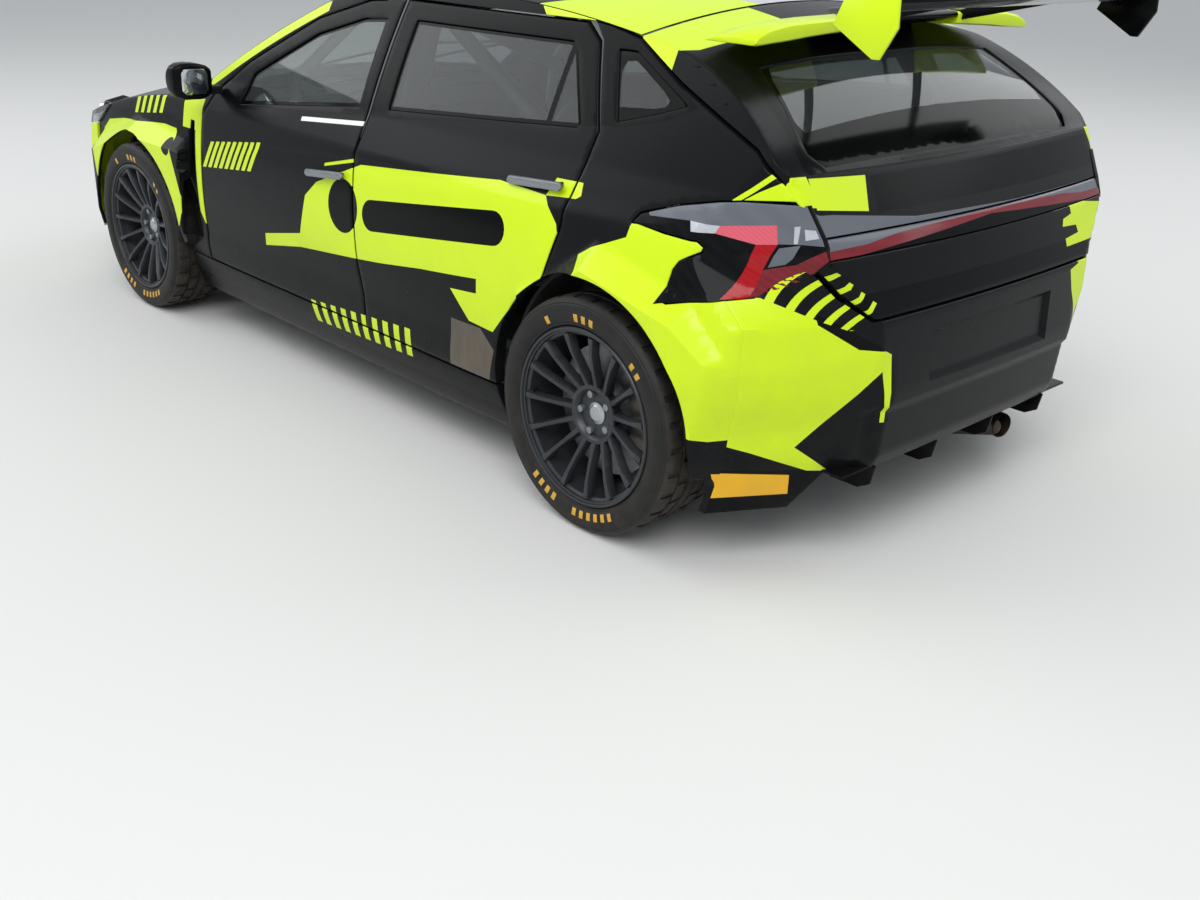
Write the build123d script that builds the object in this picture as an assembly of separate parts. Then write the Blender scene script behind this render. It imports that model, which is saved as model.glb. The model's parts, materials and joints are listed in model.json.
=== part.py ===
# Five-door rally hatchback: hollow body split at its real panel seams, four wheels,
# steered front knuckles, four doors, bonnet and tailgate on hinge pins.
# Millimetres. X forward, Y to the left, Z up, ground at Z = 0, length centred on X = 0.
import os
from math import cos, radians, sin

from build123d import *

os.makedirs("parts", exist_ok=True)

# Overall size and axles
LENGTH = 4075
HALF_LENGTH = LENGTH / 2
HALF_WIDTH = 910
WHEELBASE = 2580
FRONT_OVERHANG = 850.5
FRONT_AXLE_X = HALF_LENGTH - FRONT_OVERHANG
REAR_AXLE_X = FRONT_AXLE_X - WHEELBASE
WHEEL_Y = 782
FLOOR_Z = 150

# Wheels
TYRE_RADIUS = 322
TYRE_WIDTH = 234
RIM_FLANGE_RADIUS = 243
BEAD_RADIUS = 229
BARREL_RADIUS = 217
RIM_WIDTH = 222
SPOKES = 15
HUB_RADIUS = 74
BOLT_CIRCLE = 108
BOLT_HOLE = 14
SPINDLE_RADIUS = 31
RUNNING_GAP = 0.1
SEAT_GAP = 0.3
DISC_RADIUS = 178
DISC_THICK = 28

# Steering
KINGPIN_Y = 735
BALL_PIN_RADIUS = 12
BALL_REACH = 118

# Body walls and seams
SIDE_WALL = 60
TOP_WALL = 36
END_WALL = 52
FLARE_WALL = 26
FLOOR_WALL = 36
SEAM = 3
SHUT_GAP = 7
GLASS_DEPTH = 5
GLASS_THICK = 5
LAMP_DEPTH = 26
FRONT_ARCH_RADIUS = 372
REAR_ARCH_RADIUS = 380
ARCH_INNER_Y = 488
REAR_HOUSE_Y = 612
LINER_WALL = 12
FLOOR_STEP_X = -1150
REAR_FLOOR_Z = 380
TUNNEL_HALF = 138
TUNNEL_TOP = 300
SILL_Y = 700
SEAT_Y = 362
SEAT_HALF = 209

# Hinges
PIN_RADIUS = 8
KNUCKLE_RADIUS = 14
KNUCKLE_HALF = 15
ARM_THICK = 12
FRONT_DOOR_EDGE_X = 664
DOOR_SETBACK = 60
FRONT_HINGE_Y = 832
REAR_HINGE_X = -385
REAR_HINGE_Y = 846
DOOR_HINGE_Z = (430, 690)
LID_PIN_RADIUS = 5
LID_KNUCKLE_RADIUS = 9
BONNET_HINGE_X = 952
BONNET_HINGE_Z = 893
BONNET_HINGE_Y = 250
TAILGATE_HINGE_X = -1338
TAILGATE_HINGE_Z = 1296
TAILGATE_HINGE_Y = 180
BONNET_SWEEP = 39
TAILGATE_SWEEP = 46
FRONT_POST_Y = 750
REAR_POST_Y = 746

# Top outline of the body at the middle and how far it falls to the side
# columns: name, x, z, x moved at the side, z moved at the side
TOP_LINE = {
    "nose": (2200, 470, -140, -40),
    "nose_mid": (2095, 620, -140, -70),
    "bonnet_lead": (1950, 712, -140, -90),
    "bonnet_mid": (1450, 848, -160, -75),
    "cowl": (915, 915, -180, -60),
    "screen_mid": (515, 1128, -120, -100),
    "header": (90, 1318, -60, -150),
    "roof_mid": (-640, 1376, 0, -150),
    "roof_end": (-1480, 1296, 0, -150),
    "glass_mid": (-1690, 1160, 20, -50),
    "shelf": (-1868, 1010, 40, -12),
    "tail_out": (-2200, 905, 0, -12),
}
TOP_SIDE_Y = 950

# Cross sections, half widths at five heights
# columns: x, floor edge, sill, widest, shoulder, belt, roof edge
SECTIONS = (
    (2200, 690, 735, 765, 730, 690, 480),
    (FRONT_AXLE_X, 780, 825, 850, 822, 765, 580),
    (-100, 805, 850, 872, 846, 798, 618),
    (REAR_AXLE_X, 790, 838, 864, 838, 778, 590),
    (-2200, 720, 765, 790, 752, 700, 500),
)

# Plan outlines from floor to roof
# columns: z, front middle x, front corner x, front corner y, front side x,
#          rear middle x, rear corner x, rear corner y, rear side x
PLANS = (
    (140, 1900, 1860, 520, 1560, -1950, -1945, 480, -1700),
    (300, 1995, 1955, 520, 1640, -2022, -2016, 480, -1740),
    (480, 2020, 1975, 520, 1660, -2037.5, -2030, 480, -1765),
    (660, 2010, 1950, 560, 1600, -2030, -2015, 500, -1765),
    (820, 1960, 1880, 600, 1500, -1992, -1952, 650, -1482),
    (1008, 1900, 1800, 640, 1400, -1890, -1850, 690, -1400),
    (1480, 1900, 1800, 640, 1400, -1890, -1850, 690, -1400),
)
PLAN_SIDE_Y = 930
FLARE_FULL_X = -1570

# Flare sections: x, lower z, outer y, top z, y where the top meets the body
FRONT_FLARE = (
    (778, 330, 898, 742, 840),
    (FRONT_AXLE_X, 330, HALF_WIDTH, 752, 835),
    (1560, 260, 892, 640, 830),
    (1690, 220, 838, 560, 790),
)
REAR_FLARE = (
    (-1010, 270, 866, 420, 840),
    (-1120, 270, 900, 640, 845),
    (REAR_AXLE_X, 270, HALF_WIDTH, 790, 845),
    (-1700, 260, 905, 720, 800),
    (-1850, 260, 866, 600, 760),
)

# Side outlines, x and z
FRONT_DOOR = (
    (FRONT_DOOR_EDGE_X, 302), (FRONT_DOOR_EDGE_X, 800), (612, 902), (440, 1018), (95, 1186),
    (-150, 1256), (-322, 1270), (-314, 950), (-306, 810), (-353, 337), (-353, 302),
)
REAR_DOOR = (
    (-361, 302), (-361, 337), (-314, 810), (-334, 950), (-344, 1271), (-1110, 1272), (-1178, 1230),
    (-1278, 1030), (-1250, 789), (-1200, 650), (-1200, 302),
)
FRONT_GLASS = (
    (430, 884), (395, 985), (75, 1142), (-150, 1206), (-268, 1216), (-268, 962),
)
REAR_GLASS = (
    (-415, 972), (-415, 1222), (-1086, 1226), (-1118, 1200), (-1212, 1040), (-1205, 1028),
)
QUARTER_GLASS = (
    (-1330, 1058), (-1252, 1222), (-1312, 1222), (-1528, 1118), (-1440, 1088),
)
QUARTER_PANEL = (
    (-1208, 296), (-1208, 650), (-1258, 786), (-1302, 1032),
    (-1200, 1244), (-1136, 1280), (-1480, 1280), (-2100, 1280), (-2100, 823), (-1951, 823),
    (-1821, 724), (-1625, 688), (-1640, 597), (-1690, 296),
)
REAR_BUMPER_SIDE = (
    (-1643, 597), (-1629, 684), (-1821, 720), (-1951, 819), (-2100, 819), (-2100, 100),
    (-1693, 100),
)
TAIL_LAMP_SIDE = (
    (-1487, 849), (-1504, 874), (-1600, 905), (-1712, 931), (-1760, 938), (-1890, 943),
    (-1951, 823), (-1821, 724), (-1625, 688),
)
HEADLAMP_SIDE = (
    (1500, 750), (1630, 662), (1990, 596), (1990, 700), (1840, 738),
)
SKIRT_SIDE = (
    (690, 120), (668, 296), (-1033, 296), (-1010, 120),
)
BUMPER_SEAM_X = 1640

# Slots of the rear pillar, x and z of their middles
PILLAR_SLOTS = ((-1500, 1192), (-1582, 1151), (-1633, 1104))
SLOT_LENGTH = 52
SLOT_HEIGHT = 8
SLOT_FLOOR_Y = 616

# Light bar across the tailgate
LIGHT_BAR_Z = (823, 867)
LIGHT_BAR_Y = 643

# Mirror head, D-shaped sections
# columns: y, back x, nose x, low z, high z
MIRROR_SECTIONS = (
    (862, 532, 618, 908, 994),
    (905, 524, 640, 890, 1014),
    (965, 528, 632, 894, 1016),
    (1000, 542, 604, 914, 1000),
)

# Openings of the bumpers in rear view, y and z, left half
LOWER_MOUTH = (
    (0, 205), (470, 205), (520, 260), (440, 400), (0, 412),
)
UPPER_SLOT = (
    (0, 560), (400, 556), (380, 600), (0, 606),
)
DIFFUSER_MOUTH = (
    (0, 120), (600, 120), (560, 262), (0, 268),
)
DIFFUSER_FINS_Y = (-420, -140, 140, 420)

# Splitter in plan, x and y, left half
SPLITTER_PLAN = (
    (1700, 0), (1700, 640), (1850, 600), (1960, 520), (2012, 300), (2030, 0),
)
SPLITTER_Z = 128

# Side outlines of the roof scoop and of the rear wing's pieces, x and z
SCOOP_SIDE = (
    (60, 1300), (40, 1392), (-180, 1398), (-200, 1300),
)
SCOOP_MOUTH_SIDE = (
    (70, 1352), (70, 1384), (-60, 1386), (-60, 1364),
)
SCOOP_HALF = 150
SCOOP_WALL = 16
SPOILER_SIDE = (
    (-1486, 1270), (-1486, 1299), (-1526, 1311), (-1600, 1322), (-1650, 1318), (-1650, 1304),
    (-1570, 1280),
)
SPOILER_Y = 560
WING_PLANE_SIDE = (
    (-1840, 1352), (-1842, 1366), (-1930, 1372), (-2015, 1392), (-2016, 1384), (-1930, 1356),
)
WING_PLATE_SIDE = (
    (-1790, 1330), (-1830, 1392), (-2022, 1396), (-2022, 1330), (-1960, 1268), (-1880, 1270),
)
WING_PLATE_Y = (596, 610)
WING_STRUT_SIDE = (
    (-1560, 1290), (-1560, 1317), (-1640, 1322), (-1850, 1366), (-1900, 1366), (-1900, 1352),
    (-1650, 1290),
)
WING_STRUTS_Y = (-260, 250)
WING_STRUT_HALF = 6

# Side outlines of the seat and the dashboard, x and z
SEAT_BACK_SIDE = (
    (-40, 250), (330, 290), (330, 330), (30, 310), (-150, 880), (-200, 880), (-100, 280),
)
SEAT_SHELL_SIDE = (
    (-60, 260), (330, 300), (330, 420), (80, 440), (-60, 760), (-190, 780),
)
SEAT_ROOM_SIDE = (
    (-30, 300), (400, 335), (400, 600), (100, 700), (-130, 900),
)
DASH_SIDE = (
    (690, 620), (690, 830), (640, 850), (440, 800), (420, 700), (520, 640),
)
DASH_Y = 570
STEERING_WHEEL_RADIUS = 165
COLUMN_RADIUS = 22

# Engine block and the lines that leave it
ENGINE_X = (960, 1500)
ENGINE_Z = (250, 720)
ENGINE_HALF = 330
PROPSHAFT_Z = 262
PROPSHAFT_RADIUS = 30
EXHAUST_RADIUS = 27
SHAFT_RADIUS = 15

# Rear view outlines, y and z, left half
TAILGATE_REAR = (
    (0, 671), (520, 671), (600, 735), (655, 805), (655, 880), (700, 975), (950, 1000),
    (950, 1460), (0, 1460),
)
TAILGATE_GLASS_REAR = (
    (0, 1012), (560, 1012), (590, 1040), (510, 1205), (0, 1222),
)
TAILGATE_SIDE = (
    (-1310, 1460), (-1310, 1252), (-1486, 1166), (-1761, 1052), (-1850, 985), (-1880, 950),
    (-1880, 600), (-2200, 600), (-2200, 1460),
)

# Plan outlines, x and y, left half
BONNET_PLAN = (
    (925, 0), (925, 640), (1300, 640), (1700, 600), (1880, 500), (1930, 300), (1945, 0),
)
WINDSCREEN_PLAN = (
    (902, 0), (890, 400), (858, 655), (140, 540), (118, 300), (112, 0),
)


def mirror_left(shape):
    return mirror(shape, about=Plane.XZ)


def both_sides(shape):
    return Compound(children=[shape, mirror_left(shape)])


def one_solid(shape):
    solids = sorted(shape.solids(), key=lambda item: -item.volume)
    return solids[0]


def side_cut(points, near, far, grow=0.0):
    """Prism of a side outline between two values of y."""
    with BuildSketch(Plane.XZ.offset(-far)) as sketch:
        with BuildLine():
            Polyline(*points, close=True)
        make_face()
        if grow:
            offset(amount=grow, kind=Kind.INTERSECTION)
    return extrude(sketch.sketch, amount=far - near)


def rear_cut(points, x_low, x_high, grow=0.0):
    """Prism of a rear outline given for its left half, made whole."""
    whole = list(points) + [(-y, z) for y, z in reversed(points) if y]
    with BuildSketch(Plane.YZ.offset(x_low)) as sketch:
        with BuildLine():
            Polyline(*whole, close=True)
        make_face()
        if grow:
            offset(amount=grow, kind=Kind.INTERSECTION)
    return extrude(sketch.sketch, amount=x_high - x_low)


def plan_cut(points, z_low, z_high, grow=0.0):
    """Prism of a plan outline given for its left half, made whole."""
    whole = list(points) + [(x, -y) for x, y in reversed(points) if y]
    with BuildSketch(Plane.XY.offset(z_low)) as sketch:
        with BuildLine():
            Polyline(*whole, close=True)
        make_face()
        if grow:
            offset(amount=grow, kind=Kind.INTERSECTION)
    return extrude(sketch.sketch, amount=z_high - z_low)


def block(x_low, x_high, y_low, y_high, z_low, z_high):
    middle = ((x_low + x_high) / 2, (y_low + y_high) / 2, (z_low + z_high) / 2)
    return Location(middle) * Box(x_high - x_low, y_high - y_low, z_high - z_low)


def rod(start, end, radius):
    """Round bar between two points."""
    start, end = Vector(*start), Vector(*end)
    along = end - start
    return Plane(origin=start, z_dir=along) * Cylinder(
        radius, along.length, align=(Align.CENTER, Align.CENTER, Align.MIN))


def axle_drum(x, z, radius, near, far):
    """Cylinder about a line across the car between two values of y."""
    return rod((x, near, z), (x, far, z), radius)


def top_form(inset):
    """Block under the side outline of the car, lower toward the sides."""
    faces = []
    for y in (-TOP_SIDE_Y, 0, TOP_SIDE_Y):
        share = 0 if y == 0 else 1
        at = {}
        for name, (x, z, side_x, side_z) in TOP_LINE.items():
            at[name] = (x + side_x * share, z + side_z * share - inset)
        arcs = (
            ("nose", "nose_mid", "bonnet_lead"),
            ("bonnet_lead", "bonnet_mid", "cowl"),
            ("cowl", "screen_mid", "header"),
            ("header", "roof_mid", "roof_end"),
            ("roof_end", "glass_mid", "shelf"),
        )
        with BuildSketch(Plane.XZ.offset(-y)) as sketch:
            with BuildLine():
                for first, middle, last in arcs:
                    ThreePointArc(at[first], at[middle], at[last])
                Polyline(at["shelf"], at["tail_out"], (-2200, 100), (2200, 100), at["nose"])
            make_face()
        faces.append(sketch.sketch)
    return loft(faces)


def side_form(low_inset, high_inset, floor_z=FLOOR_Z):
    """Block between the two body sides, from floor to above the roof."""
    faces = []
    for x, floor, sill, wide, shoulder, belt, roof in SECTIONS:
        with BuildSketch(Plane.YZ.offset(x)) as sketch:
            with BuildLine():
                for side in (1, -1):
                    low = side * ((sill + wide) / 2 + 6 - low_inset)
                    ThreePointArc(
                        (side * (floor - low_inset), floor_z),
                        (side * (sill - low_inset), 255), (low, 400))
                    ThreePointArc(
                        (low, 400), (side * (wide - low_inset), 620),
                        (side * (shoulder - low_inset), 840))
                    Line((side * (shoulder - low_inset), 840), (side * (belt - high_inset), 950))
                    ThreePointArc(
                        (side * (belt - high_inset), 950),
                        (side * ((belt + roof) / 2 + 10 - high_inset), 1140),
                        (side * (roof - high_inset), 1330))
                    Line((side * (roof - high_inset), 1330), (side * (roof - high_inset - 90), 1460))
                Line((floor - low_inset, floor_z), (low_inset - floor, floor_z))
                Line((roof - high_inset - 90, 1460), (90 + high_inset - roof, 1460))
            make_face()
        faces.append(sketch.sketch)
    return loft(faces)


def plan_form(inset):
    """Block between nose and tail, rounded in plan."""
    faces = []
    for z, nose, nose_x, nose_y, front_x, tail, tail_x, tail_y, rear_x in PLANS:
        with BuildSketch(Plane.XY.offset(z)) as sketch:
            with BuildLine():
                ThreePointArc(
                    (nose_x - inset, -nose_y), (nose - inset, 0), (nose_x - inset, nose_y))
                Polyline(
                    (nose_x - inset, nose_y), (front_x - inset, PLAN_SIDE_Y),
                    (rear_x + inset, PLAN_SIDE_Y), (tail_x + inset, tail_y))
                ThreePointArc(
                    (tail_x + inset, tail_y), (tail + inset, 0), (tail_x + inset, -tail_y))
                Polyline(
                    (tail_x + inset, -tail_y), (rear_x + inset, -PLAN_SIDE_Y),
                    (front_x - inset, -PLAN_SIDE_Y), (nose_x - inset, -nose_y))
            make_face()
        faces.append(sketch.sketch)
    return loft(faces, ruled=True)


def body_form(side_inset, high_inset, top_inset, end_inset, floor_z=FLOOR_Z):
    """Whole outer form of the car drawn in by the given amounts."""
    return top_form(top_inset) & side_form(side_inset, high_inset, floor_z) & plan_form(end_inset)


def flare_form(table, inset):
    """Left-hand bulge over a wheel, from its table of sections."""
    faces = []
    for x, low, outer, top, meet in table:
        with BuildSketch(Plane.YZ.offset(x)) as sketch:
            with BuildLine():
                Polyline(
                    (700, low), (outer - 14 - inset, low), (outer - inset, low + 70),
                    (outer - inset, top - 70), (meet - inset / 2, top - inset),
                    (700, top - inset), close=True)
            make_face()
        faces.append(sketch.sketch)
    return loft(faces, ruled=True)


def hinge_fixed(arm_length, radius=PIN_RADIUS):
    """Pin and two arms, pin along local z, outward along local y."""
    half = KNUCKLE_HALF + RUNNING_GAP + ARM_THICK
    pin = Cylinder(radius, 2 * half)
    for side in (1, -1):
        middle = side * (KNUCKLE_HALF + RUNNING_GAP + ARM_THICK / 2)
        pin += Location((0, -arm_length / 2, middle)) * Box(2 * radius, arm_length, ARM_THICK)
    return pin


def hinge_pocket(ahead, knuckle):
    """Room cut from the moving panel for the arms of a hinge."""
    half = KNUCKLE_HALF + ARM_THICK + 6
    return block(-48, ahead, -70, knuckle - 2, -half, half)


def hinge_eye(outward, radius, knuckle):
    """Eye of the moving panel around the pin."""
    eye = Cylinder(knuckle, 2 * KNUCKLE_HALF)
    eye += block(2 - knuckle, knuckle - 2, 0, outward, -KNUCKLE_HALF, KNUCKLE_HALF)
    return eye - Cylinder(radius + RUNNING_GAP, 2 * KNUCKLE_HALF)


def door_frame(x, y, z):
    return Plane(origin=(x, y, z), x_dir=(1, 0, 0), z_dir=(0, 0, 1))


def lid_frame(x, y, z, nose_sign):
    """Hinge across the car: local x toward the fixed edge, local y upward."""
    return Plane(origin=(x, y, z), x_dir=(nose_sign, 0, 0), z_dir=(0, -nose_sign, 0))


def hang(panel, frames, ahead, outward, radius=PIN_RADIUS, knuckle=KNUCKLE_RADIUS):
    """Cut the pockets into a panel and give it its hinge eyes."""
    panel = panel.cut(*[frame * hinge_pocket(ahead, knuckle) for frame in frames])
    panel = panel.fuse(*[frame * hinge_eye(outward, radius, knuckle) for frame in frames])
    return one_solid(panel)


FRONT_HINGE_X = FRONT_DOOR_EDGE_X - DOOR_SETBACK
FRONT_DOOR_HINGES = [door_frame(FRONT_HINGE_X, FRONT_HINGE_Y, z) for z in DOOR_HINGE_Z]
REAR_DOOR_HINGES = [door_frame(REAR_HINGE_X, REAR_HINGE_Y, z) for z in DOOR_HINGE_Z]
BONNET_HINGES = [
    lid_frame(BONNET_HINGE_X, side * BONNET_HINGE_Y, BONNET_HINGE_Z, -1) for side in (1, -1)]
TAILGATE_HINGES = [
    lid_frame(TAILGATE_HINGE_X, side * TAILGATE_HINGE_Y, TAILGATE_HINGE_Z, 1) for side in (1, -1)]

# Master forms
outer = body_form(0, 0, 0, 0)
inner = body_form(SIDE_WALL, TOP_WALL, TOP_WALL, END_WALL, FLOOR_Z + FLOOR_WALL)
shell = outer - inner
glass_outer = body_form(GLASS_DEPTH, GLASS_DEPTH, GLASS_DEPTH, GLASS_DEPTH)
glass_inset = GLASS_DEPTH + GLASS_THICK
glass_inner = body_form(glass_inset, glass_inset, glass_inset, glass_inset, 200)
glazing = glass_outer - glass_inner
lamp_back = body_form(LAMP_DEPTH, LAMP_DEPTH, LAMP_DEPTH, LAMP_DEPTH, 200)
lamp_skin = outer - lamp_back

left_half = block(-2300, 2300, 0, 1100, 0, 1600)
left_skin = shell & left_half

# Arch room about the wheels, left side
front_arch = axle_drum(FRONT_AXLE_X, TYRE_RADIUS, FRONT_ARCH_RADIUS, ARCH_INNER_Y, 1000)
rear_arch = axle_drum(REAR_AXLE_X, TYRE_RADIUS, REAR_ARCH_RADIUS, REAR_HOUSE_Y + LINER_WALL, 1000)

# Doors
front_door_plug = side_cut(FRONT_DOOR, 300, 1000)
rear_door_plug = side_cut(REAR_DOOR, 300, 1000)
front_glass_hole = side_cut(FRONT_GLASS, 300, 1000)
rear_glass_hole = side_cut(REAR_GLASS, 300, 1000)
door_room = side_cut(FRONT_DOOR, 300, 1000, SHUT_GAP) + side_cut(REAR_DOOR, 300, 1000, SHUT_GAP)
rear_sweep = rod((REAR_HINGE_X, REAR_HINGE_Y, 320), (REAR_HINGE_X, REAR_HINGE_Y, 800), 66)
front_sweep = rod((FRONT_HINGE_X, FRONT_HINGE_Y, 320), (FRONT_HINGE_X, FRONT_HINGE_Y, 800), 71)


def handle(x_front, x_rear, z_front, z_rear, y):
    """Grip bar with two feet, standing off the skin."""
    bar = rod((x_front, y + 22, z_front), (x_rear, y + 22, z_rear), 12)
    for share in (0.12, 0.88):
        x = x_front + (x_rear - x_front) * share
        z = z_front + (z_rear - z_front) * share
        bar += rod((x, y - 30, z), (x, y + 23, z), 8)
    return bar


door_front = (left_skin & front_door_plug) - front_glass_hole - rear_sweep
door_front = hang(one_solid(door_front), FRONT_DOOR_HINGES, DOOR_SETBACK + 5, 24)
door_front = one_solid(door_front + handle(-85, -282, 742, 765, 856))
flare_rear_hollow = flare_form(REAR_FLARE, FLARE_WALL) & block(FLARE_FULL_X, 0, 0, 1000, 0, 1200)
flare_rear = (flare_form(REAR_FLARE, 0) & plan_form(0)) - flare_rear_hollow
door_rear = ((left_skin + (flare_rear - inner)) & rear_door_plug) - rear_glass_hole - rear_arch
door_rear = hang(one_solid(door_rear), REAR_DOOR_HINGES, DOOR_SETBACK + 5, 24)
door_rear = one_solid(door_rear + handle(-1075, -1225, 882, 892, 824))
glass_front = one_solid(glazing & side_cut(FRONT_GLASS, 300, 1000, -SEAT_GAP))
glass_rear = one_solid(glazing & side_cut(REAR_GLASS, 300, 1000, -SEAT_GAP))

# Bonnet
bonnet_plug = plan_cut(BONNET_PLAN, 560, 1200)
bonnet_room = plan_cut(BONNET_PLAN, 560, 1200, SHUT_GAP)
bonnet = one_solid(shell & bonnet_plug)
bonnet = hang(bonnet, BONNET_HINGES, 34, 10, LID_PIN_RADIUS, LID_KNUCKLE_RADIUS)

# Headlamps
headlamp_plug = side_cut(HEADLAMP_SIDE, 450, 1000) - bonnet_room
headlamp = one_solid(lamp_skin & headlamp_plug)
headlamp_room = side_cut(HEADLAMP_SIDE, 450, 1000, SEAM) - bonnet_room

# Front wing with its flare and the open vent behind the wheel
flare_front = flare_form(FRONT_FLARE, 0) - flare_form(FRONT_FLARE, FLARE_WALL)
wing_zone = block(FRONT_DOOR_EDGE_X + SHUT_GAP, BUMPER_SEAM_X - SEAM, 300, 1000, FLOOR_Z, 1000)
wing_skin = left_skin - side_cut(((716, 372), (716, 778), (830, 778), (830, 372)), 760, 1000)
wing = (wing_skin + (flare_front - inner)) & wing_zone
wing = wing - front_arch - bonnet_room - headlamp_room - front_sweep
wing = wing - side_cut(SKIRT_SIDE, 300, 1000, SEAM) - plan_cut(WINDSCREEN_PLAN, 800, 1400, SEAM)
wing = wing - block(0, 925, 0, SILL_Y, 0, 1200)
wing = one_solid(wing - block(600, 1700, 0, 765, 100, FLOOR_Z + FLOOR_WALL + 1))

# Side skirt
skirt_plug = side_cut(SKIRT_SIDE, SILL_Y + SEAT_GAP, 1000)
skirt = one_solid((left_skin & skirt_plug) - front_arch - rear_arch)

# Tail lamps, light bar, tailgate and its glass
tailgate_plug = rear_cut(TAILGATE_REAR, -2200, -1300) & side_cut(TAILGATE_SIDE, -1000, 1000)
tailgate_room = rear_cut(TAILGATE_REAR, -2200, -1300, SHUT_GAP)
tailgate_room = tailgate_room & side_cut(TAILGATE_SIDE, -1000, 1000, SHUT_GAP)
light_bar_low, light_bar_high = LIGHT_BAR_Z
light_bar_box = block(-2200, -1800, -LIGHT_BAR_Y, LIGHT_BAR_Y, light_bar_low, light_bar_high)
light_bar_room = block(-2200, -1800, -LIGHT_BAR_Y - SEAM, LIGHT_BAR_Y + SEAM,
                       light_bar_low - SEAT_GAP, light_bar_high + SEAT_GAP)
light_bar = one_solid(lamp_skin & light_bar_box & tailgate_plug)
tail_lamp_plug = side_cut(TAIL_LAMP_SIDE, 400, 1000) - tailgate_room
tail_lamp = one_solid(lamp_skin & tail_lamp_plug)
tail_lamp_room = side_cut(TAIL_LAMP_SIDE, 400, 1000, SEAM)
tail_glass_hole = rear_cut(TAILGATE_GLASS_REAR, -2100, -1500)
tailgate = (shell & tailgate_plug) - tail_glass_hole
tailgate = one_solid(tailgate - (lamp_skin & light_bar_room))
for x, z in PILLAR_SLOTS:
    slot = block(x - SLOT_LENGTH / 2, x + SLOT_LENGTH / 2, SLOT_FLOOR_Y, 900,
                 z - SLOT_HEIGHT / 2, z + SLOT_HEIGHT / 2)
    tailgate = tailgate - slot - mirror_left(slot)
tailgate = one_solid(tailgate)
tailgate = hang(tailgate, TAILGATE_HINGES, 34, 10, LID_PIN_RADIUS, LID_KNUCKLE_RADIUS)
tailgate_glass = one_solid(
    glazing & rear_cut(TAILGATE_GLASS_REAR, -2100, -1500, -SEAT_GAP))

# Rear quarter with its flare, and the quarter window
quarter_zone = side_cut(QUARTER_PANEL, 300, 1000)
quarter = (left_skin + (flare_rear - inner)) & quarter_zone
quarter = quarter - rear_arch - tailgate_room - (tail_lamp_room - lamp_back)
quarter = one_solid(quarter - side_cut(QUARTER_GLASS, 300, 1000) - side_cut(SKIRT_SIDE, 300, 1000, SEAM))
quarter_glass = one_solid(glazing & side_cut(QUARTER_GLASS, 300, 1000, -SEAT_GAP))

# Front bumper with its openings and splitter
bumper_zone = block(BUMPER_SEAM_X, 2300, -1000, 1000, FLOOR_Z, 800)
bumper_flare = both_sides((flare_front - inner) & block(BUMPER_SEAM_X, 2300, 300, 1000, 0, 800))
front_bumper = (shell & bumper_zone) + bumper_flare
front_bumper = front_bumper - bonnet_room - headlamp_room - mirror_left(headlamp_room)
front_bumper = front_bumper - block(1500, 1900, -900, 900, 0, FLOOR_Z + FLOOR_WALL + 1)
front_bumper = front_bumper - front_arch - mirror_left(front_arch)
front_bumper = front_bumper - rear_cut(LOWER_MOUTH, 1700, 2200) - rear_cut(UPPER_SLOT, 1700, 2200)
front_bumper = one_solid(front_bumper + plan_cut(SPLITTER_PLAN, SPLITTER_Z, FLOOR_Z))
grille_bars = [block(1880, 1896, -500, 500, z, z + 9) for z in range(215, 405, 22)]
grille = block(1870, 1880, -640, 640, 190, 430)
for bar in grille_bars:
    grille = grille + bar
grille = one_solid(grille & inner)

# Rear bumper with diffuser
rear_bumper = shell & side_cut(REAR_BUMPER_SIDE, -1000, 1000)
rear_bumper = rear_bumper + both_sides((flare_rear - inner) & side_cut(REAR_BUMPER_SIDE, 300, 1000))
rear_bumper = rear_bumper - rear_arch - mirror_left(rear_arch) - tailgate_room
rear_bumper = rear_bumper - block(-1945, -1500, -620, 620, 100, FLOOR_Z + FLOOR_WALL + 1)
rear_bumper = rear_bumper - rear_cut(DIFFUSER_MOUTH, -2200, -1900)
for y in DIFFUSER_FINS_Y:
    rear_bumper = rear_bumper + (block(-1990, -1856, y - 5, y + 5, 160, 285) & plan_form(8))
rear_bumper = rear_bumper + block(-1985, -1856, -560, 560, 262, 274)
rear_bumper = one_solid(rear_bumper)

# Windscreen
windscreen_hole = plan_cut(WINDSCREEN_PLAN, 860, 1400)
windscreen = one_solid(glazing & plan_cut(WINDSCREEN_PLAN, 860, 1400, -SEAT_GAP))

# Body shell: roof, pillars, floor, sills, posts, bulkheads, wheel housings, rails
body = shell - block(FRONT_DOOR_EDGE_X + SHUT_GAP + 2, 2300, -1100, 1100, 0, 872)
body = body - block(925, 2300, -1100, 1100, 0, 1600)
bonnet_sweep = axle_drum(BONNET_HINGE_X, BONNET_HINGE_Z, BONNET_SWEEP, -660, 660)
tailgate_sweep = axle_drum(TAILGATE_HINGE_X, TAILGATE_HINGE_Z, TAILGATE_SWEEP, -640, 640)
body = body - tailgate_room - windscreen_hole - bonnet_sweep - tailgate_sweep
side_rooms = [
    door_room,
    side_cut(QUARTER_PANEL, 300, 1000, SEAM),
    side_cut(REAR_BUMPER_SIDE, 0, 1000, SEAM) - block(-1840, 0, 0, 600, 0, 1000),
    side_cut(SKIRT_SIDE, SILL_Y, 1000),
    front_sweep,
    front_arch,
    rear_arch,
    wing,
]
rear_pan = block(-2000, FLOOR_STEP_X, -600, 600, 100, FLOOR_Z + FLOOR_WALL + 1)
body = body.cut(rear_pan, *side_rooms, *[mirror_left(room) for room in side_rooms])

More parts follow.
